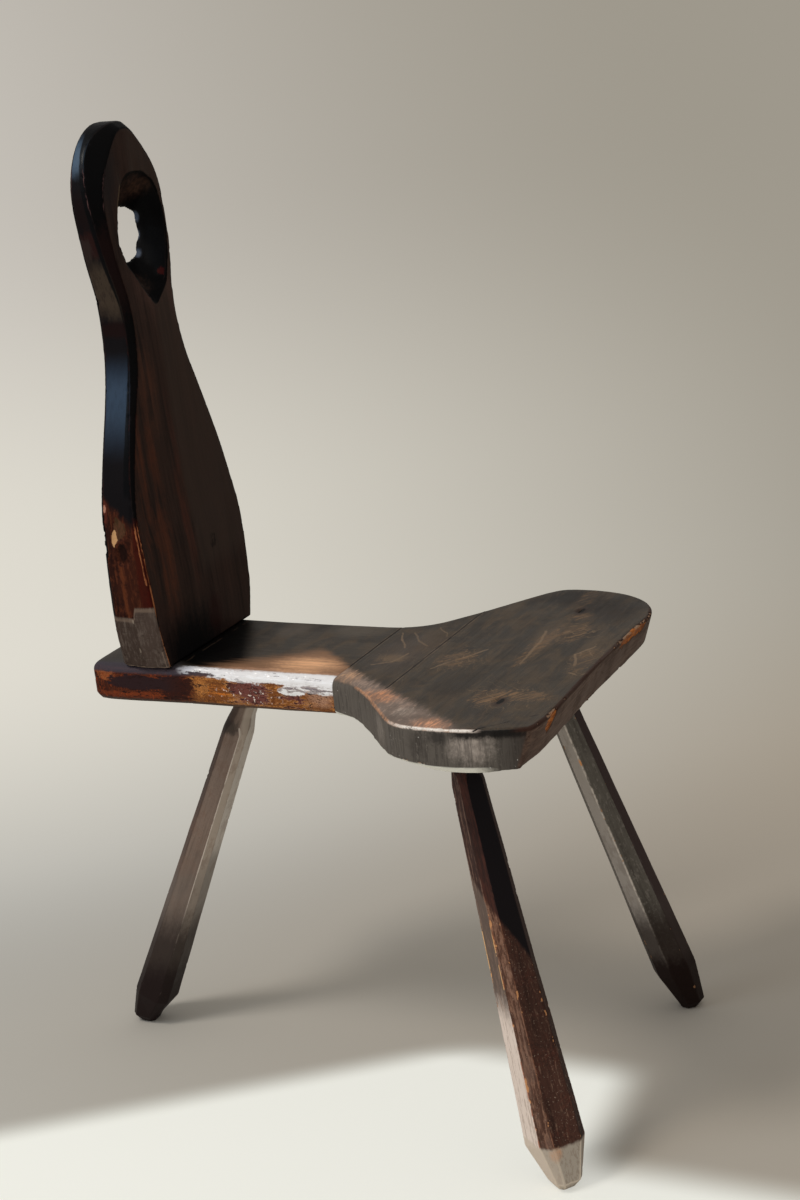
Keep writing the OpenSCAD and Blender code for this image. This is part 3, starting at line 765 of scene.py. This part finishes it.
# %% The remains of varnish on that side
varnish = (wood.crazing - 0.5) * 1.3 + (wood.mottle - 0.5) * 0.6 + (wood.grime - 0.5) * 0.3
for centre, reach, amount in (
    ((-80, 163, 385), (14, 42, 9), 0.55),
    ((-80, 120, 382), (14, 28, 18), 0.32),
    ((-80, 46, 384), (14, 28, 12), 0.50),
    ((-80, 40, 374), (14, 30, 6), 0.16),
    ((-80, 8, 380), (14, 18, 4), 0.20),
    ((-80, 79, 380), (14, 14, 12), -0.30),
):
    varnish = varnish + wood.patch(centre, reach, 0.2, 0.9) * amount
held = side * wood.step(0.08, 0.12, varnish)
lifted = side * wood.step(0.04, 0.08, varnish) * (1 - held)
wood.over(lifted * wood.step(110, 70, wood.y) * 0.7, 214, 164, 124)
wood.over(held * 0.92, 48, 22, 18)
wood.over(held * wood.step(112, 138, wood.y) * wood.step(376, 380, wood.z) * 0.9, 44, 28, 31)
wood.over(held * wood.step(72, 60, wood.y) * 0.85, 120, 70, 64)
wood.over(held * wood.step(72, 60, wood.y) * wood.step(0.52, 0.60, wood.grime) * 0.7, 66, 34, 32)
wood.over(side * wood.step(0.575, 0.61, wood.crazing) * 0.85, 36, 17, 15)
wood.over(side * wood.step(370, 367.5, wood.z + wood.ragged * 1.2) * 0.9, 72, 62, 56)
wood.over(side * wood.stroke((-80, 90, 385), (-80, 90.5, 371), 0.9) * 0.9, 216, 190, 172)
specks = side * wood.step(0.60, 0.63, wood.grime) * wood.patch((-80, 48, 378), (14, 50, 10), 0.3, 0.5)
wood.over(specks * 0.9, 244, 222, 210)

# %% Its painted highlight on the near arris
reach_down = wood.step(20, -30, wood.y) * 6 + wood.step(96, 50, wood.y) * 5
top_band = wood.step(-69, -73, wood.x + wood.ragged * 2) * wood.step(122, 106, wood.y + wood.ragged * 5)
band_edge = wood.z - 396 + reach_down + wood.ragged * 4 + (wood.streak - 0.5) * 10
top_band = top_band * wood.step(-1.2, 1.2, band_edge)
blob = wood.patch((-80, 4, 386), (14, 14, 4.6), 0.6, 0.2) * side
painted_shine = wood.maths("MAXIMUM", top_band, blob)
cracks = wood.broken(0.50, 0.56, crazing=0.6, streak=0.4)
wood.over(wood.step(-70, -74, wood.x + wood.ragged * 2) * wood.step(392, 395, wood.z) * 0.88, 66, 60, 68)
# painted highlight: white on the near arris, cooler further back, broken by cracks
wood.over(painted_shine * 0.98, 248, 246, 248)
wood.over(painted_shine * wood.step(96, 112, wood.y) * 0.6, 150, 156, 176)
wood.over(painted_shine * wood.step(394, 390, wood.z) * cracks * 0.75, 116, 84, 76)
wood.over(painted_shine * wood.broken(0.57, 0.61, streak=0.6, crazing=0.4) * 0.7, 104, 100, 112)
for start, end in (((-80, 25, 396), (-80, 0, 390)), ((-80, 58, 397), (-80, 44, 391))):
    wood.over(wood.stroke(start, end, 0.9) * side, 50, 34, 32)
wood.gloss = painted_shine * 0.8
dress(rear_board, wood.varnished(specular=0.08))

# %% [markdown]
# ## The middle and front boards' finish
# A strip of painted sunlight runs on along the near arris, with a painted highlight on the arris itself.
# Planing across two knots left feathers of lighter wood round them, and thin bright arcs where the grain
# dips. The near side is rough grey end grain, with a painted shadow under its top arris, a painted white
# highlight near its top and a painted highlight along the lobe's lower rim, and the front arris is
# darkened by hands.


# %% Arcs, curls and knots on a seat board
def arcs(wood, share, lines, *rgb):
    for start, middle, end, width in lines:
        wood.over(wood.stroke((*start, SEAT_TOP), (*middle, SEAT_TOP), width) * share, *rgb)
        wood.over(wood.stroke((*middle, SEAT_TOP), (*end, SEAT_TOP), width) * share, *rgb)


def curls(wood, heart, centre, reach, share):
    """fine light arcs bent round a heart, kept to one patch"""
    away = wood.distance((*heart, SEAT_TOP), (1, 1, 0), wood.drifting)
    arc = wood.maths("ABSOLUTE", wood.maths("FRACT", away * 0.11 + wood.lines * 4) - 0.5)
    kept = wood.patch((*centre, SEAT_TOP), (*reach, 20), 0.5, 1.0) * wood.step(0.44, 0.56, wood.mottle)
    wood.over((1 - wood.step(0.02, 0.11, arc)) * kept * share, 140, 116, 92)


def knot(wood, centre, share):
    on_seat(wood, share, (centre, (15, 8), 0.5, 0.5, 0.8, (58, 46, 41)))
    on_seat(wood, share, (centre, (8, 3.2), 0.4, 0.3, 1.0, (14, 10, 9)))


# %% The stained top of both boards, and the painted sunlit strip along the near arris
def board_top(wood, up):
    on_seat(
        wood, up,
        ((-70, -150), (60, 20), 0.3, 0.8, 0.6, (54, 49, 45)),
        ((50, -182), (50, 16), 0.4, 0.8, 0.6, (100, 84, 70)),
        ((36, -226), (50, 12), 0.4, 0.8, 0.5, (96, 82, 68)),
        ((126, -214), (46, 34), 0.3, 0.8, 0.7, (48, 42, 39)),
        ((160, -158), (36, 44), 0.3, 0.8, 0.8, (40, 36, 34)),
        ((-6, -70), (70, 40), 0.3, 0.8, 0.5, (90, 77, 68)),
    )
    feathers = wood.clouds(wood.drifting, (60, 9, 30), detail=4, roughness=0.7, distortion=1.4)
    wood.over(wood.step(0.54, 0.70, feathers) * up * 0.3, 106, 86, 68)


def sunlit_strip(wood, up):
    # painted sunlight: a strip along the near arris, bounded by a shadow edge, with orange lit spots
    shadow_edge = wood.x * 0.814 - wood.y * 0.581 + 17.5 + wood.ragged * 4 + (wood.streak - 0.5) * 16
    strip = wood.step(4, -10, shadow_edge) * up * wood.step(-206, -180, wood.y + wood.ragged * 6)
    wood.over(strip * (0.6 + wood.step(0.42, 0.60, wood.mottle) * 0.35), 132, 115, 105)
    wood.over(strip * wood.broken(0.50, 0.64, crazing=0.6, mottle=0.4) * 0.6, 178, 152, 136)
    on_seat(
        wood, strip * (0.25 + wood.broken(0.42, 0.60, crazing=0.7, mottle=0.3) * 0.65),
        ((-64, -50), (30, 17), 0.4, 0.8, 1.0, (204, 160, 126)),
        ((-110, -96), (22, 28), 0.5, 1.0, 1.0, (226, 156, 112)),
        ((-141, -134), (14, 12), 0.7, 0.8, 0.7, (196, 178, 164)),
        ((-160, -168), (18, 24), 0.5, 1.0, 1.0, (238, 170, 130)),
    )


# %% What only the middle board shows, and what only the lobed front board shows
def middle_marks(wood, up):
    arcs(wood, up * 0.45, (
        ((5, -65), (24, -54), (42, -45), 1.4),
        ((-40, -55), (-30, -70), (-8, -75), 1.6),
    ), 142, 118, 94)
    arcs(wood, up * 0.4, (
        ((13, -83), (26, -70), (44, -57), 1.4),
        ((30, -94), (48, -86), (60, -74), 1.3),
    ), 134, 112, 90)
    on_seat(wood, up, ((-22, -66), (15, 20), 0.6, 0.8, 0.5, (122, 100, 78)))
    curls(wood, (-60, 20), (-26, -72), (34, 38), up * 0.4)


def front_marks(wood, up):
    arcs(wood, up * 0.45, (
        ((36, -232), (13, -222), (-12, -231), 1.6),
        ((-30, -234), (-36, -245), (-27, -252), 1.4),
        ((-18, -184), (26, -180), (66, -174), 1.8),
        ((-40, -112), (-14, -126), (12, -141), 1.8),
    ), 146, 122, 98)
    swirled = wood.node("ShaderNodeMapping", {}, {"Vector": wood.drifting, "Rotation": (0, 0, 0.6)})
    flame = wood.clouds(swirled, (34, 3.6, 30), detail=4, roughness=0.7, distortion=1.3)
    leaf = (0.2 + wood.step(0.47, 0.60, flame) * 0.8) * up
    for centre, reach, share in (
        ((-96, -192), (25, 22), 0.95),
        ((-88, -220), (14, 28), 0.9),
        ((152, -176), (32, 12), 0.7),
        ((108, -190), (15, 16), 0.6),
        ((22, -181), (58, 9), 0.65),
        ((-14, -127), (26, 22), 0.65),
        ((66, -200), (34, 17), 0.55),
        ((0, -235), (40, 14), 0.45),
    ):
        on_seat(wood, leaf, (centre, reach, 0.7, 0.6, share, (132, 103, 76)))
    on_seat(wood, up, ((146, -188), (44, 56), 0.3, 0.9, 0.5, (36, 31, 28)))
    for heart, centre, reach in (
        ((190, -110), (68, -205), (54, 40)),
        ((-190, -130), (-90, -205), (50, 60)),
        ((-120, -40), (-14, -130), (50, 34)),
        ((90, -340), (0, -236), (60, 26)),
    ):
        curls(wood, heart, centre, reach, up * 0.5)
    for centre in ((-103, -203), (124, -184)):
        knot(wood, centre, up)


# %% The boards' sawn near side and the darkened front arris
def sawn_side(wood, side):
    end_grain = wood.clouds(wood.place, (1.5, 1.5, 16), detail=3, roughness=0.7)
    saw_marks = wood.clouds(wood.place, (3.4, 3.4, 60), detail=3, roughness=0.6)
    wood.over(side, 98, 91, 85)
    wood.patches(
        side,
        ((-140, -111, 384), (40, 13, 20), 0.5, 0.8, 0.8, (138, 128, 120)),
        ((-190, -158, 384), (60, 14, 20), 0.4, 0.8, 0.8, (72, 66, 62)),
        ((-190, -204, 386), (60, 28, 24), 0.4, 0.8, 0.95, (178, 165, 156)),
    )
    wood.over(side * wood.step(0.46, 0.60, end_grain * 0.4 + saw_marks * 0.6) * 0.5, 52, 47, 44)
    dusty = wood.step(0.54, 0.64, saw_marks * 0.45 + wood.crazing * 0.35 + wood.grime * 0.2)
    wood.over(side * dusty * 0.4, 146, 136, 128)
    wood.over(side * wood.patch((-150, -176, 392), (80, 12, 9), 0.6, 0.6) * 0.7, 50, 46, 44)
    wood.over(side * wood.step(-214, -252, wood.y + wood.ragged * 4) * 0.85, 50, 45, 42)
    # painted shadow: a nearly black band under the overhanging top arris
    shadow_under_arris = wood.step(390, 395, wood.z + wood.ragged * 2) * wood.step(-180, -196, wood.y)
    wood.over(side * shadow_under_arris * 0.9, 14, 12, 12)
    white_specks = side * wood.step(0.765, 0.79, wood.clouds(wood.place, (2.6,) * 3, detail=1))
    wood.over(white_specks * 0.7, 214, 210, 204)


def front_face(wood, up):
    front = wood.facing((0, -1, 0), 0.3, 0.7) * wood.step(-215, -235, wood.y) * (1 - up)
    wood.over(front, 84, 66, 58)
    wood.over(front * wood.step(0.48, 0.62, wood.streak) * 0.7, 108, 86, 74)
    wood.over(front * wood.broken(0.50, 0.58, mottle=0.5, crazing=0.5) * 0.7, 58, 40, 33)
    nosing = wood.step(0.45, 0.85, wood.arris) * wood.step(-232, -244, wood.y) * wood.step(388, 396, wood.z)
    wood.over(nosing * 0.85, 56, 34, 26)
    # painted highlight: the lower rim that faces the bright floor is made pale
    lower_rim_highlight = wood.facing((0, 0, -1), 0.2, 0.5) * (1 - wood.facing((0, 0, -1), 0.9, 0.99))
    lower_rim_highlight = lower_rim_highlight * wood.step(-225, -200, wood.y + wood.ragged * 4) * wood.step(0, -20, wood.x)
    wood.over(lower_rim_highlight * 0.95, 236, 232, 222)


# %% Finish the middle and front boards
for piece, name, marks in (
    (middle_board, "stained middle board", middle_marks),
    (front_board, "stained front board", front_marks),
):
    wood = Wood(name, 0, (0, -170, 350), spacing=8)
    seat_top(wood, [rear_joint, front_joint])
    up = wood.facing((0, 0, 1), 0.5, 0.8)
    side = near_side(wood)
    board_top(wood, up)
    sunlit_strip(wood, up)
    marks(wood, up)
    sawn_side(wood, side)
    front_face(wood, up)
    raw = wood.step(0.4, 0.7, wood.flake)
    wood.over(raw * 0.95, 178, 104, 44)
    wood.over(raw * wood.step(0.46, 0.56, wood.crazing) * 0.8, 104, 54, 28)
    wood.over(wood.step(0.5, 0.9, wood.chip) * 0.7, 176, 140, 112)
    # painted highlight along the near top arris, orange further back and white further forward
    painted_rim_shine = wood.step(0.60, 0.92, wood.arris) * wood.step(-20, -60, wood.x)
    painted_rim_shine = painted_rim_shine * wood.step(-214, -200, wood.y) * wood.broken(0.36, 0.48, mottle=0.4, crazing=0.6)
    painted_rim_shine = painted_rim_shine * wood.step(396.5, 398.5, wood.z + wood.ragged * 0.8)
    white_shine_span = wood.step(-122, -150, wood.y + wood.ragged * 10)
    wood.over(painted_rim_shine * (0.45 + wood.step(0.46, 0.56, wood.crazing) * 0.4), 198, 146, 112)
    wood.over(painted_rim_shine * white_shine_span * 0.95, 244, 236, 228)
    # painted highlight: a white scribble of light near the top of the near side
    wood.over(side * wood.stroke((-172, -173, 393), (-190, -186, 391), 1.1) * 0.9, 226, 222, 216)
    # a dark line along the near top arris towards the front corner
    dark_arris_line = wood.stroke((-168, -206, 399), (-124, -246, 399), 1.2) * wood.step(392, 396, wood.z)
    wood.over(dark_arris_line, 20, 14, 12)
    wood.gloss = painted_rim_shine * 0.5
    dress(piece, wood.varnished(specular=0.08))

# %% [markdown]
# ## The legs' finish
# Each leg's grain runs along its own axis, so a Mapping node turns the pattern upright first. Every flat
# took stain and wear differently, and some flats are also painted lighter or darker for how light falls on
# them. The near leg is painted nearly black in the seat's shadow and speckled brown below, painted pale
# where it faces the light, with an orange wear line down one arris. The other two are greyer above and dark
# red-brown at the foot, with a painted highlight down one arris, and the back leg has painted shade at its
# shoulder.


# %% Prepare the legs' finish
def leg_turn(node):
    low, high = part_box(node)
    points = [vertex.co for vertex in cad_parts[node].data.vertices]
    ends = []
    for level in (high.z, low.z):
        close = [point for point in points if abs(point.z - level) < 12 * MM]
        ends.append(sum(close, Vector()) / len(close))
    return (ends[0] - ends[1]).normalized().rotation_difference(Vector((0, 0, 1))).to_euler()


def leg_wood(piece, node, deep, mid, light):
    name = "stained " + piece.name.replace("_", " ")
    wood = Wood(name, 2, (14, -10, 0), spacing=7, turn=leg_turn(node))
    wood.stain(deep, mid, light, contrast=0.7)
    specks = wood.clouds(wood.place, (1.6,) * 3, detail=2, roughness=0.7)
    wood.over(wood.step(0.60, 0.68, 1 - specks) * 0.5, *deep)
    wood.light_specks = wood.step(0.64, 0.70, specks)
    wood.scuffs = wood.broken(0.52, 0.60, crazing=0.6, grime=0.4)
    return wood


def darken_below(wood, *levels):
    """each level: where it begins and ends above the floor, how torn it is, its share and its colour"""
    for begin, end, torn, share, rgb in levels:
        wood.over(wood.step(begin, end, wood.z + wood.ragged * torn) * share, *rgb)


# %% Finish the near leg
wood = leg_wood(leg_right, "front_leg_right", (50, 29, 23), (76, 48, 39), (100, 68, 56))
lit = wood.facing((-0.80, 0.60, 0.03), 0.86, 0.93)
second = wood.facing((-0.96, -0.11, 0.25), 0.86, 0.93)
wide = wood.facing((-0.56, -0.76, 0.33), 0.86, 0.93)
turned_away = wood.facing((0.17, -0.95, 0.25), 0.86, 0.93)
wood.over(wood.scuffs * 0.42, 116, 86, 72)
# painted shadow: the seat's shadow on the leg above a slanting line, black on the wide flat
seat_shadow = wood.step(396, 403, wood.z + wood.x * 0.716 - wood.y * 1.376 + wood.ragged * 2)
wood.over(seat_shadow * 0.85, 52, 34, 31)
wood.over(wide * seat_shadow * 0.97, 12, 7, 11)
streaky = wood.broken(0.44, 0.58, streak=0.6, crazing=0.4)
wood.over(seat_shadow * (second + lit) * streaky * 0.7, 82, 46, 38)
wood.over(turned_away * 0.6, 40, 28, 27)
lower = 1 - seat_shadow
wood.over(lower * wood.broken(0.52, 0.60, mottle=0.5, crazing=0.5) * 0.5, 96, 52, 40)
wood.over(lower * wood.broken(0.50, 0.58, mottle=0.4, grime=0.6) * 0.5, 46, 28, 23)
wood.over(lower * wood.step(0.60, 0.66, wood.crazing) * 0.5, 138, 110, 92)
grey_spots = wood.patch((-150, -180, 176), (14, 40, 20), 0.6, 0.6) * wood.step(0.50, 0.58, wood.crazing)
wood.over(grey_spots * lower * 0.7, 158, 146, 138)
wood.over(wood.light_specks * lower * 0.6, 172, 150, 132)

# %% Its flats and tip painted lit where they face the light, its orange wear line
# painted light: the flat that faces the light is made pale low down
pale = wood.step(168, 130, wood.z + wood.ragged * 12)
wood.over(lit * lower * 0.9, 102, 86, 78)
scraped = wood.broken(0.46, 0.58, crazing=0.6, streak=0.4)
wood.over(second * lower * (0.1 + scraped * 0.6), 150, 112, 92)
wood.over(lit * pale, 232, 214, 203)
wood.over(lit * wood.broken(0.50, 0.58, crazing=0.5, streak=0.5) * 0.45, 146, 118, 102)
wood.over(second * pale * wood.broken(0.46, 0.58, streak=0.5, mottle=0.5) * 0.4, 126, 100, 88)
wear = wood.step(0.72, 0.92, wood.arris) * lower * wood.step(28, 40, wood.z)
wear = wear * wood.broken(0.45, 0.53, crazing=0.5, mottle=0.5)
orange_line = wear * wood.facing((-0.93, 0.30, 0.15), 0.93, 0.99)
wood.over(orange_line * wood.step(0.46, 0.56, wood.mottle) * 0.8, 168, 92, 54)
wood.over(wear * wood.facing((-0.80, -0.46, 0.30), 0.93, 0.99) * 0.7, 150, 96, 70)
outline = wood.facing((-0.55, 0.83, 0.0), 0.80, 0.95) * wood.step(0.6, 0.9, wood.arris)
chipped = wood.broken(0.46, 0.50, grime=0.4, mottle=0.6) * wood.step(218, 206, wood.z)
wood.over(outline * chipped * wood.step(158, 166, wood.z), 236, 186, 130)
# painted light: the tip's flats and arris that face the light are pale
tip = wood.step(44, 40, wood.z + wood.ragged * 2)
wood.over(tip * wood.facing((-0.6, -0.4, -0.1), 0.1, 0.5) * 0.9, 184, 172, 159)
wood.over(tip * wood.step(0.50, 0.58, wood.crazing) * 0.5, 142, 124, 110)
wood.over(tip * wood.facing((-0.82, 0.51, -0.25), 0.6, 0.9) * 0.9, 214, 196, 180)
wood.over(tip * wood.step(0.8, 0.95, wood.arris) * 0.6, 222, 206, 188)
wood.over(wood.patch((-178, -250, 37), (9, 7, 10), 0.4, 0.7) * 0.8, 210, 160, 126)
# painted shade on the flats turned from the light, low on the leg
shaded = wood.step(-258, -266, wood.y - wood.z * 0.2569) * wood.step(96, 130, wood.z) * lower
wood.over(shaded * (wide + turned_away) * 0.35, 46, 28, 22)
wood.over(wood.step(0.4, 0.8, wood.chip) * lower * (1 - tip) * 0.85, 206, 146, 98)
dress(leg_right, wood.varnished(specular=0.12))

# %% Finish the far leg
wood = leg_wood(leg_left, "front_leg_left", (74, 68, 62), (98, 92, 85), (116, 108, 101))
wood.over(wood.scuffs * 0.45, 134, 126, 118)
# painted light: the flat that faces the light is pale
lit = wood.facing((-0.98, 0.15, 0.0), 0.90, 0.96)
wood.over(lit * 0.9, 172, 162, 154)
wood.over(lit * wood.broken(0.50, 0.60, mottle=0.6, crazing=0.4) * 0.35, 116, 104, 94)
# painted shade: the flat turned from the light is dark
shaded = wood.facing((-0.17, -0.96, 0.23), 0.90, 0.95)
wood.over(shaded * 0.95, 54, 40, 39)
wood.over(shaded * wood.step(130, 90, wood.z + wood.ragged * 16) * 0.8, 84, 73, 70)
wood.over(wood.facing((0.8, -0.6, 0.0), 0.5, 0.9) * 0.8, 58, 46, 43)
# painted highlight along the arris beside the lit flat
line = wood.step(0.74, 0.94, wood.arris) * wood.facing((-0.95, -0.25, 0.0), 0.90, 0.98)
wood.over(line * wood.broken(0.40, 0.54, crazing=0.5, mottle=0.5) * 0.85, 226, 214, 202)
shaded_line = shaded * wood.step(0.6, 0.9, wood.arris)
wood.over(shaded_line * wood.broken(0.5, 0.56, mottle=0.5, crazing=0.5), 70, 60, 58)
wood.over(wood.patch((103, -184, 268), (20, 30, 5), 0.6, 0.3) * line, 226, 150, 80)
darken_below(wood, (128, 88, 10, 0.85, (42, 30, 26)), (70, 50, 8, 0.92, (25, 10, 7)))
wood.over(wood.step(0.4, 0.8, wood.chip) * 0.6, 176, 130, 92)
dress(leg_left, wood.varnished(specular=0.12))

# %% Finish the back leg
wood = leg_wood(leg_rear, "rear_leg", (98, 82, 73), (128, 109, 98), (144, 124, 112))
wood.over(wood.scuffs * 0.45, 128, 110, 98)
wood.over(wood.facing((-0.71, -0.65, -0.28), 0.90, 0.97) * 0.85, 182, 167, 154)
right_flat = wood.facing((0, -0.91, -0.41), 0.88, 0.95)
wood.over(right_flat * 0.9, 208, 199, 190)
wood.over(right_flat * wood.step(206, 176, wood.z + wood.ragged * 8) * 0.6, 124, 116, 108)
wood.over(wood.facing((-0.8, 0.6, 0.2), 0.80, 0.92) * 0.8, 78, 62, 56)
wood.over(wood.broken(0.50, 0.58, mottle=0.6, crazing=0.4) * 0.3, 112, 84, 70)
wood.over(wood.step(346, 352, wood.z) * 0.85, 112, 103, 97)
# painted shade round the shoulder, just under the seat
wood.over(wood.patch((-20, 98, 345), (30, 30, 5), 0.3, 0.6) * 0.75, 46, 38, 36)
wood.over(wood.patch((-18, 111, 322), (14, 15, 10), 0.4, 0.6) * 0.8, 54, 46, 42)
darken_below(
    wood,
    (206, 150, 12, 0.5, (112, 102, 95)),
    (146, 92, 10, 0.9, (46, 37, 34)),
    (84, 50, 8, 0.92, (30, 18, 18)),
)
# painted highlight down one arris, pale higher up and dim lower down
line = wood.step(0.70, 0.92, wood.arris) * wood.facing((-0.90, -0.38, -0.16), 0.95, 0.99)
pale_line = line * wood.broken(0.34, 0.48, crazing=0.5, mottle=0.5) * wood.step(110, 160, wood.z)
wood.over(pale_line * 0.8, 232, 218, 206)
wood.over(line * wood.step(160, 110, wood.z) * wood.step(0.46, 0.56, wood.mottle) * 0.35, 150, 136, 128)
dress(leg_rear, wood.varnished(specular=0.12))

# %% [markdown]
# ## The hidden dowels
# Short dowels hold the boards and the plank together inside the wood. They stay as imported and get a plain
# turned-wood finish.

# %% Finish the hidden dowels
finish = Finish("plain dowel wood")
fibre = finish.clouds(finish.place, (2.0, 12.0, 12.0), detail=4)
paint = finish.mix(fibre, colour(176, 134, 88), colour(206, 170, 122))
sockets = {"Strength": 0.3, "Distance": 0.2 * MM, "Height": fibre}
bump = finish.node("ShaderNodeBump", {}, sockets, out="Normal")
dowel_wood = finish.finished(Base_Color=paint, Roughness=0.55 + fibre * 0.1, Normal=bump)
for node in ("rear_joint_dowels", "front_joint_dowels", "back_dowels"):
    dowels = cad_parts[node]
    dowels.data.materials.clear()
    dowels.data.materials.append(dowel_wood)
    print(f"  {node}: {dowel_wood.name}")

# %% [markdown]
# ## Floor, wall and light
# The chair stands on a pale floor before a plain wall. A pool of light with shadow edges is painted on the
# floor, and the wall is painted darker towards its foot as shade. One lamp stands high behind the chair's
# near side, a cooler one low behind it, and the world fills the rest.

# %% Floor and wall
FLOOR_SIZE = 160.0
ACROSS_ROOM = (0.775, 0.633)
WALL_BEGINS = 2.0
POOL_REACH = 2.8
bpy.ops.object.select_all(action="DESELECT")
bpy.ops.mesh.primitive_plane_add(size=FLOOR_SIZE, location=(0, 0, 0))
floor = bpy.context.object
floor.name = "floor"
floor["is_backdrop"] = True

finish = Finish("pale floor and wall")
east, north = finish.x * MM, finish.y * MM
away = east * ACROSS_ROOM[0] + north * ACROSS_ROOM[1]
along = east * ACROSS_ROOM[1] - north * ACROSS_ROOM[0]
rise = finish.maths("DIVIDE", away, away + WALL_BEGINS)
sweep = finish.maths("DIVIDE", along, away + WALL_BEGINS)
wall_low = finish.mix(finish.step(-0.12, 0.42, sweep), colour(224, 220, 209), colour(158, 152, 140))
wall_top = finish.mix(finish.step(-0.25, 0.35, sweep), colour(216, 211, 204), colour(158, 152, 140))
wall = finish.mix(finish.step(0.50, 0.80, rise), wall_low, wall_top)
# painted shade: the wall is darker towards its foot
foot = finish.mix(finish.step(-0.15, 0.35, sweep), colour(170, 168, 162), colour(160, 148, 131))
wall = finish.mix(finish.step(0.10, 0.42, rise), foot, wall)
near = finish.mix(finish.step(-0.9, 0.5, along), colour(196, 194, 188), colour(188, 179, 167))
# painted light: a pool of light on the floor, bounded by painted shadow edges
behind_pool = finish.step(-0.03, 0.02, east * 0.804 + north * 0.594 + 0.021)
beside_pool = finish.step(0.215, 0.275, east * 0.1 - north) * finish.step(-0.16, -0.10, east)
spread = finish.vector("LENGTH", finish.place, out="Value") * MM
pool = (1 - behind_pool) * (1 - beside_pool) * finish.step(0.05, -0.01, east)
pool = pool * finish.step(POOL_REACH, POOL_REACH / 2, spread)
near = finish.mix(pool, near, colour(250, 250, 242))
wall = finish.mix(pool, wall, colour(255, 255, 247))
ground = finish.node("ShaderNodeBsdfDiffuse", {}, {"Color": near})
glow = finish.node("ShaderNodeEmission", {}, {"Color": wall, "Strength": 1.0})
seen = finish.node("ShaderNodeLightPath", out="Is Camera Ray")
share = finish.maths("MAXIMUM", finish.step(0.12, 0.62, away), pool * 0.45) * seen
both = finish.node("ShaderNodeMixShader", {}, {0: share, 1: ground, 2: glow})
finish.links.new(both.socket, finish.nodes["Material Output"].inputs["Surface"])
floor.data.materials.append(finish.material)
print("floor:", FLOOR_SIZE, "m square, with", len(finish.nodes), "nodes in its finish")

# %% World and lamps
WORLD_STRENGTH = 0.62
LAMP_DISTANCE = 2.6
world = bpy.data.worlds.new("soft room")
bpy.context.scene.world = world
world.use_nodes = True
background = world.node_tree.nodes["Background"]
background.inputs["Color"].default_value = colour(226, 224, 219)
background.inputs["Strength"].default_value = WORLD_STRENGTH


def lamp(name, towards, size, power, tint):
    aim = (cad_box[0] + cad_box[1]) / 2
    direction = Vector(towards).normalized()
    bpy.ops.object.light_add(type="AREA", location=aim + direction * LAMP_DISTANCE)
    made = bpy.context.object
    made.name = name
    made.rotation_mode = "QUATERNION"
    made.rotation_quaternion = direction.to_track_quat("Z", "Y")
    made.data.shape, made.data.size, made.data.size_y = "RECTANGLE", *size
    made.data.energy, made.data.color = power, tint
    print(f"  {name}: {power} W at", [round(v, 2) for v in made.location])


lamp("high lamp", (-0.43, 0.30, 0.85), (0.6, 0.6), 24, (1.0, 0.95, 0.88))
lamp("window lamp", (-0.62, 0.55, 0.56), (1.0, 1.0), 8, (0.72, 0.86, 1.0))

# %% Camera
AZIMUTH, RISE, ROLL = -62.5, 18.0, 6.1
AIM_OFFSET = (23.5, -58.7, -18.9)
CAMERA_DISTANCE = 1.952
SENSOR, LENS = 36.0, 66.64
SHIFT = (-0.0046, 0.0217)
middle = (cad_box[0] + cad_box[1]) / 2
aim = middle + Vector(AIM_OFFSET) * MM
azimuth, rise = math.radians(AZIMUTH), math.radians(RISE)
flat = math.cos(rise)
back_off = Vector((math.sin(azimuth) * flat, -math.cos(azimuth) * flat, math.sin(rise)))
bpy.ops.object.camera_add(location=aim + back_off * CAMERA_DISTANCE)
camera = bpy.context.object
camera.rotation_mode = "QUATERNION"
look = (-back_off).to_track_quat("-Z", "Y")
camera.rotation_quaternion = look @ Euler((0, 0, math.radians(-ROLL))).to_quaternion()
camera.data.sensor_width, camera.data.lens = SENSOR, LENS
camera.data.shift_x, camera.data.shift_y = SHIFT
bpy.context.scene.camera = camera
bpy.context.scene.view_settings.view_transform = "Standard"
print("camera at", [round(v, 3) for v in camera.location], "with a lens of", LENS, "mm")

# %% [markdown]
# ## The sizes
# Both boxes, the imported chair's and the dressed chair's, are printed. The dressed chair must not be
# larger than the imported one.

# %% Sizes
boxes = {"cad": cad_box, "visual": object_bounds()}
for name, (low, high) in boxes.items():
    print(name, [round(v / MM, 2) for v in low], [round(v / MM, 2) for v in high])
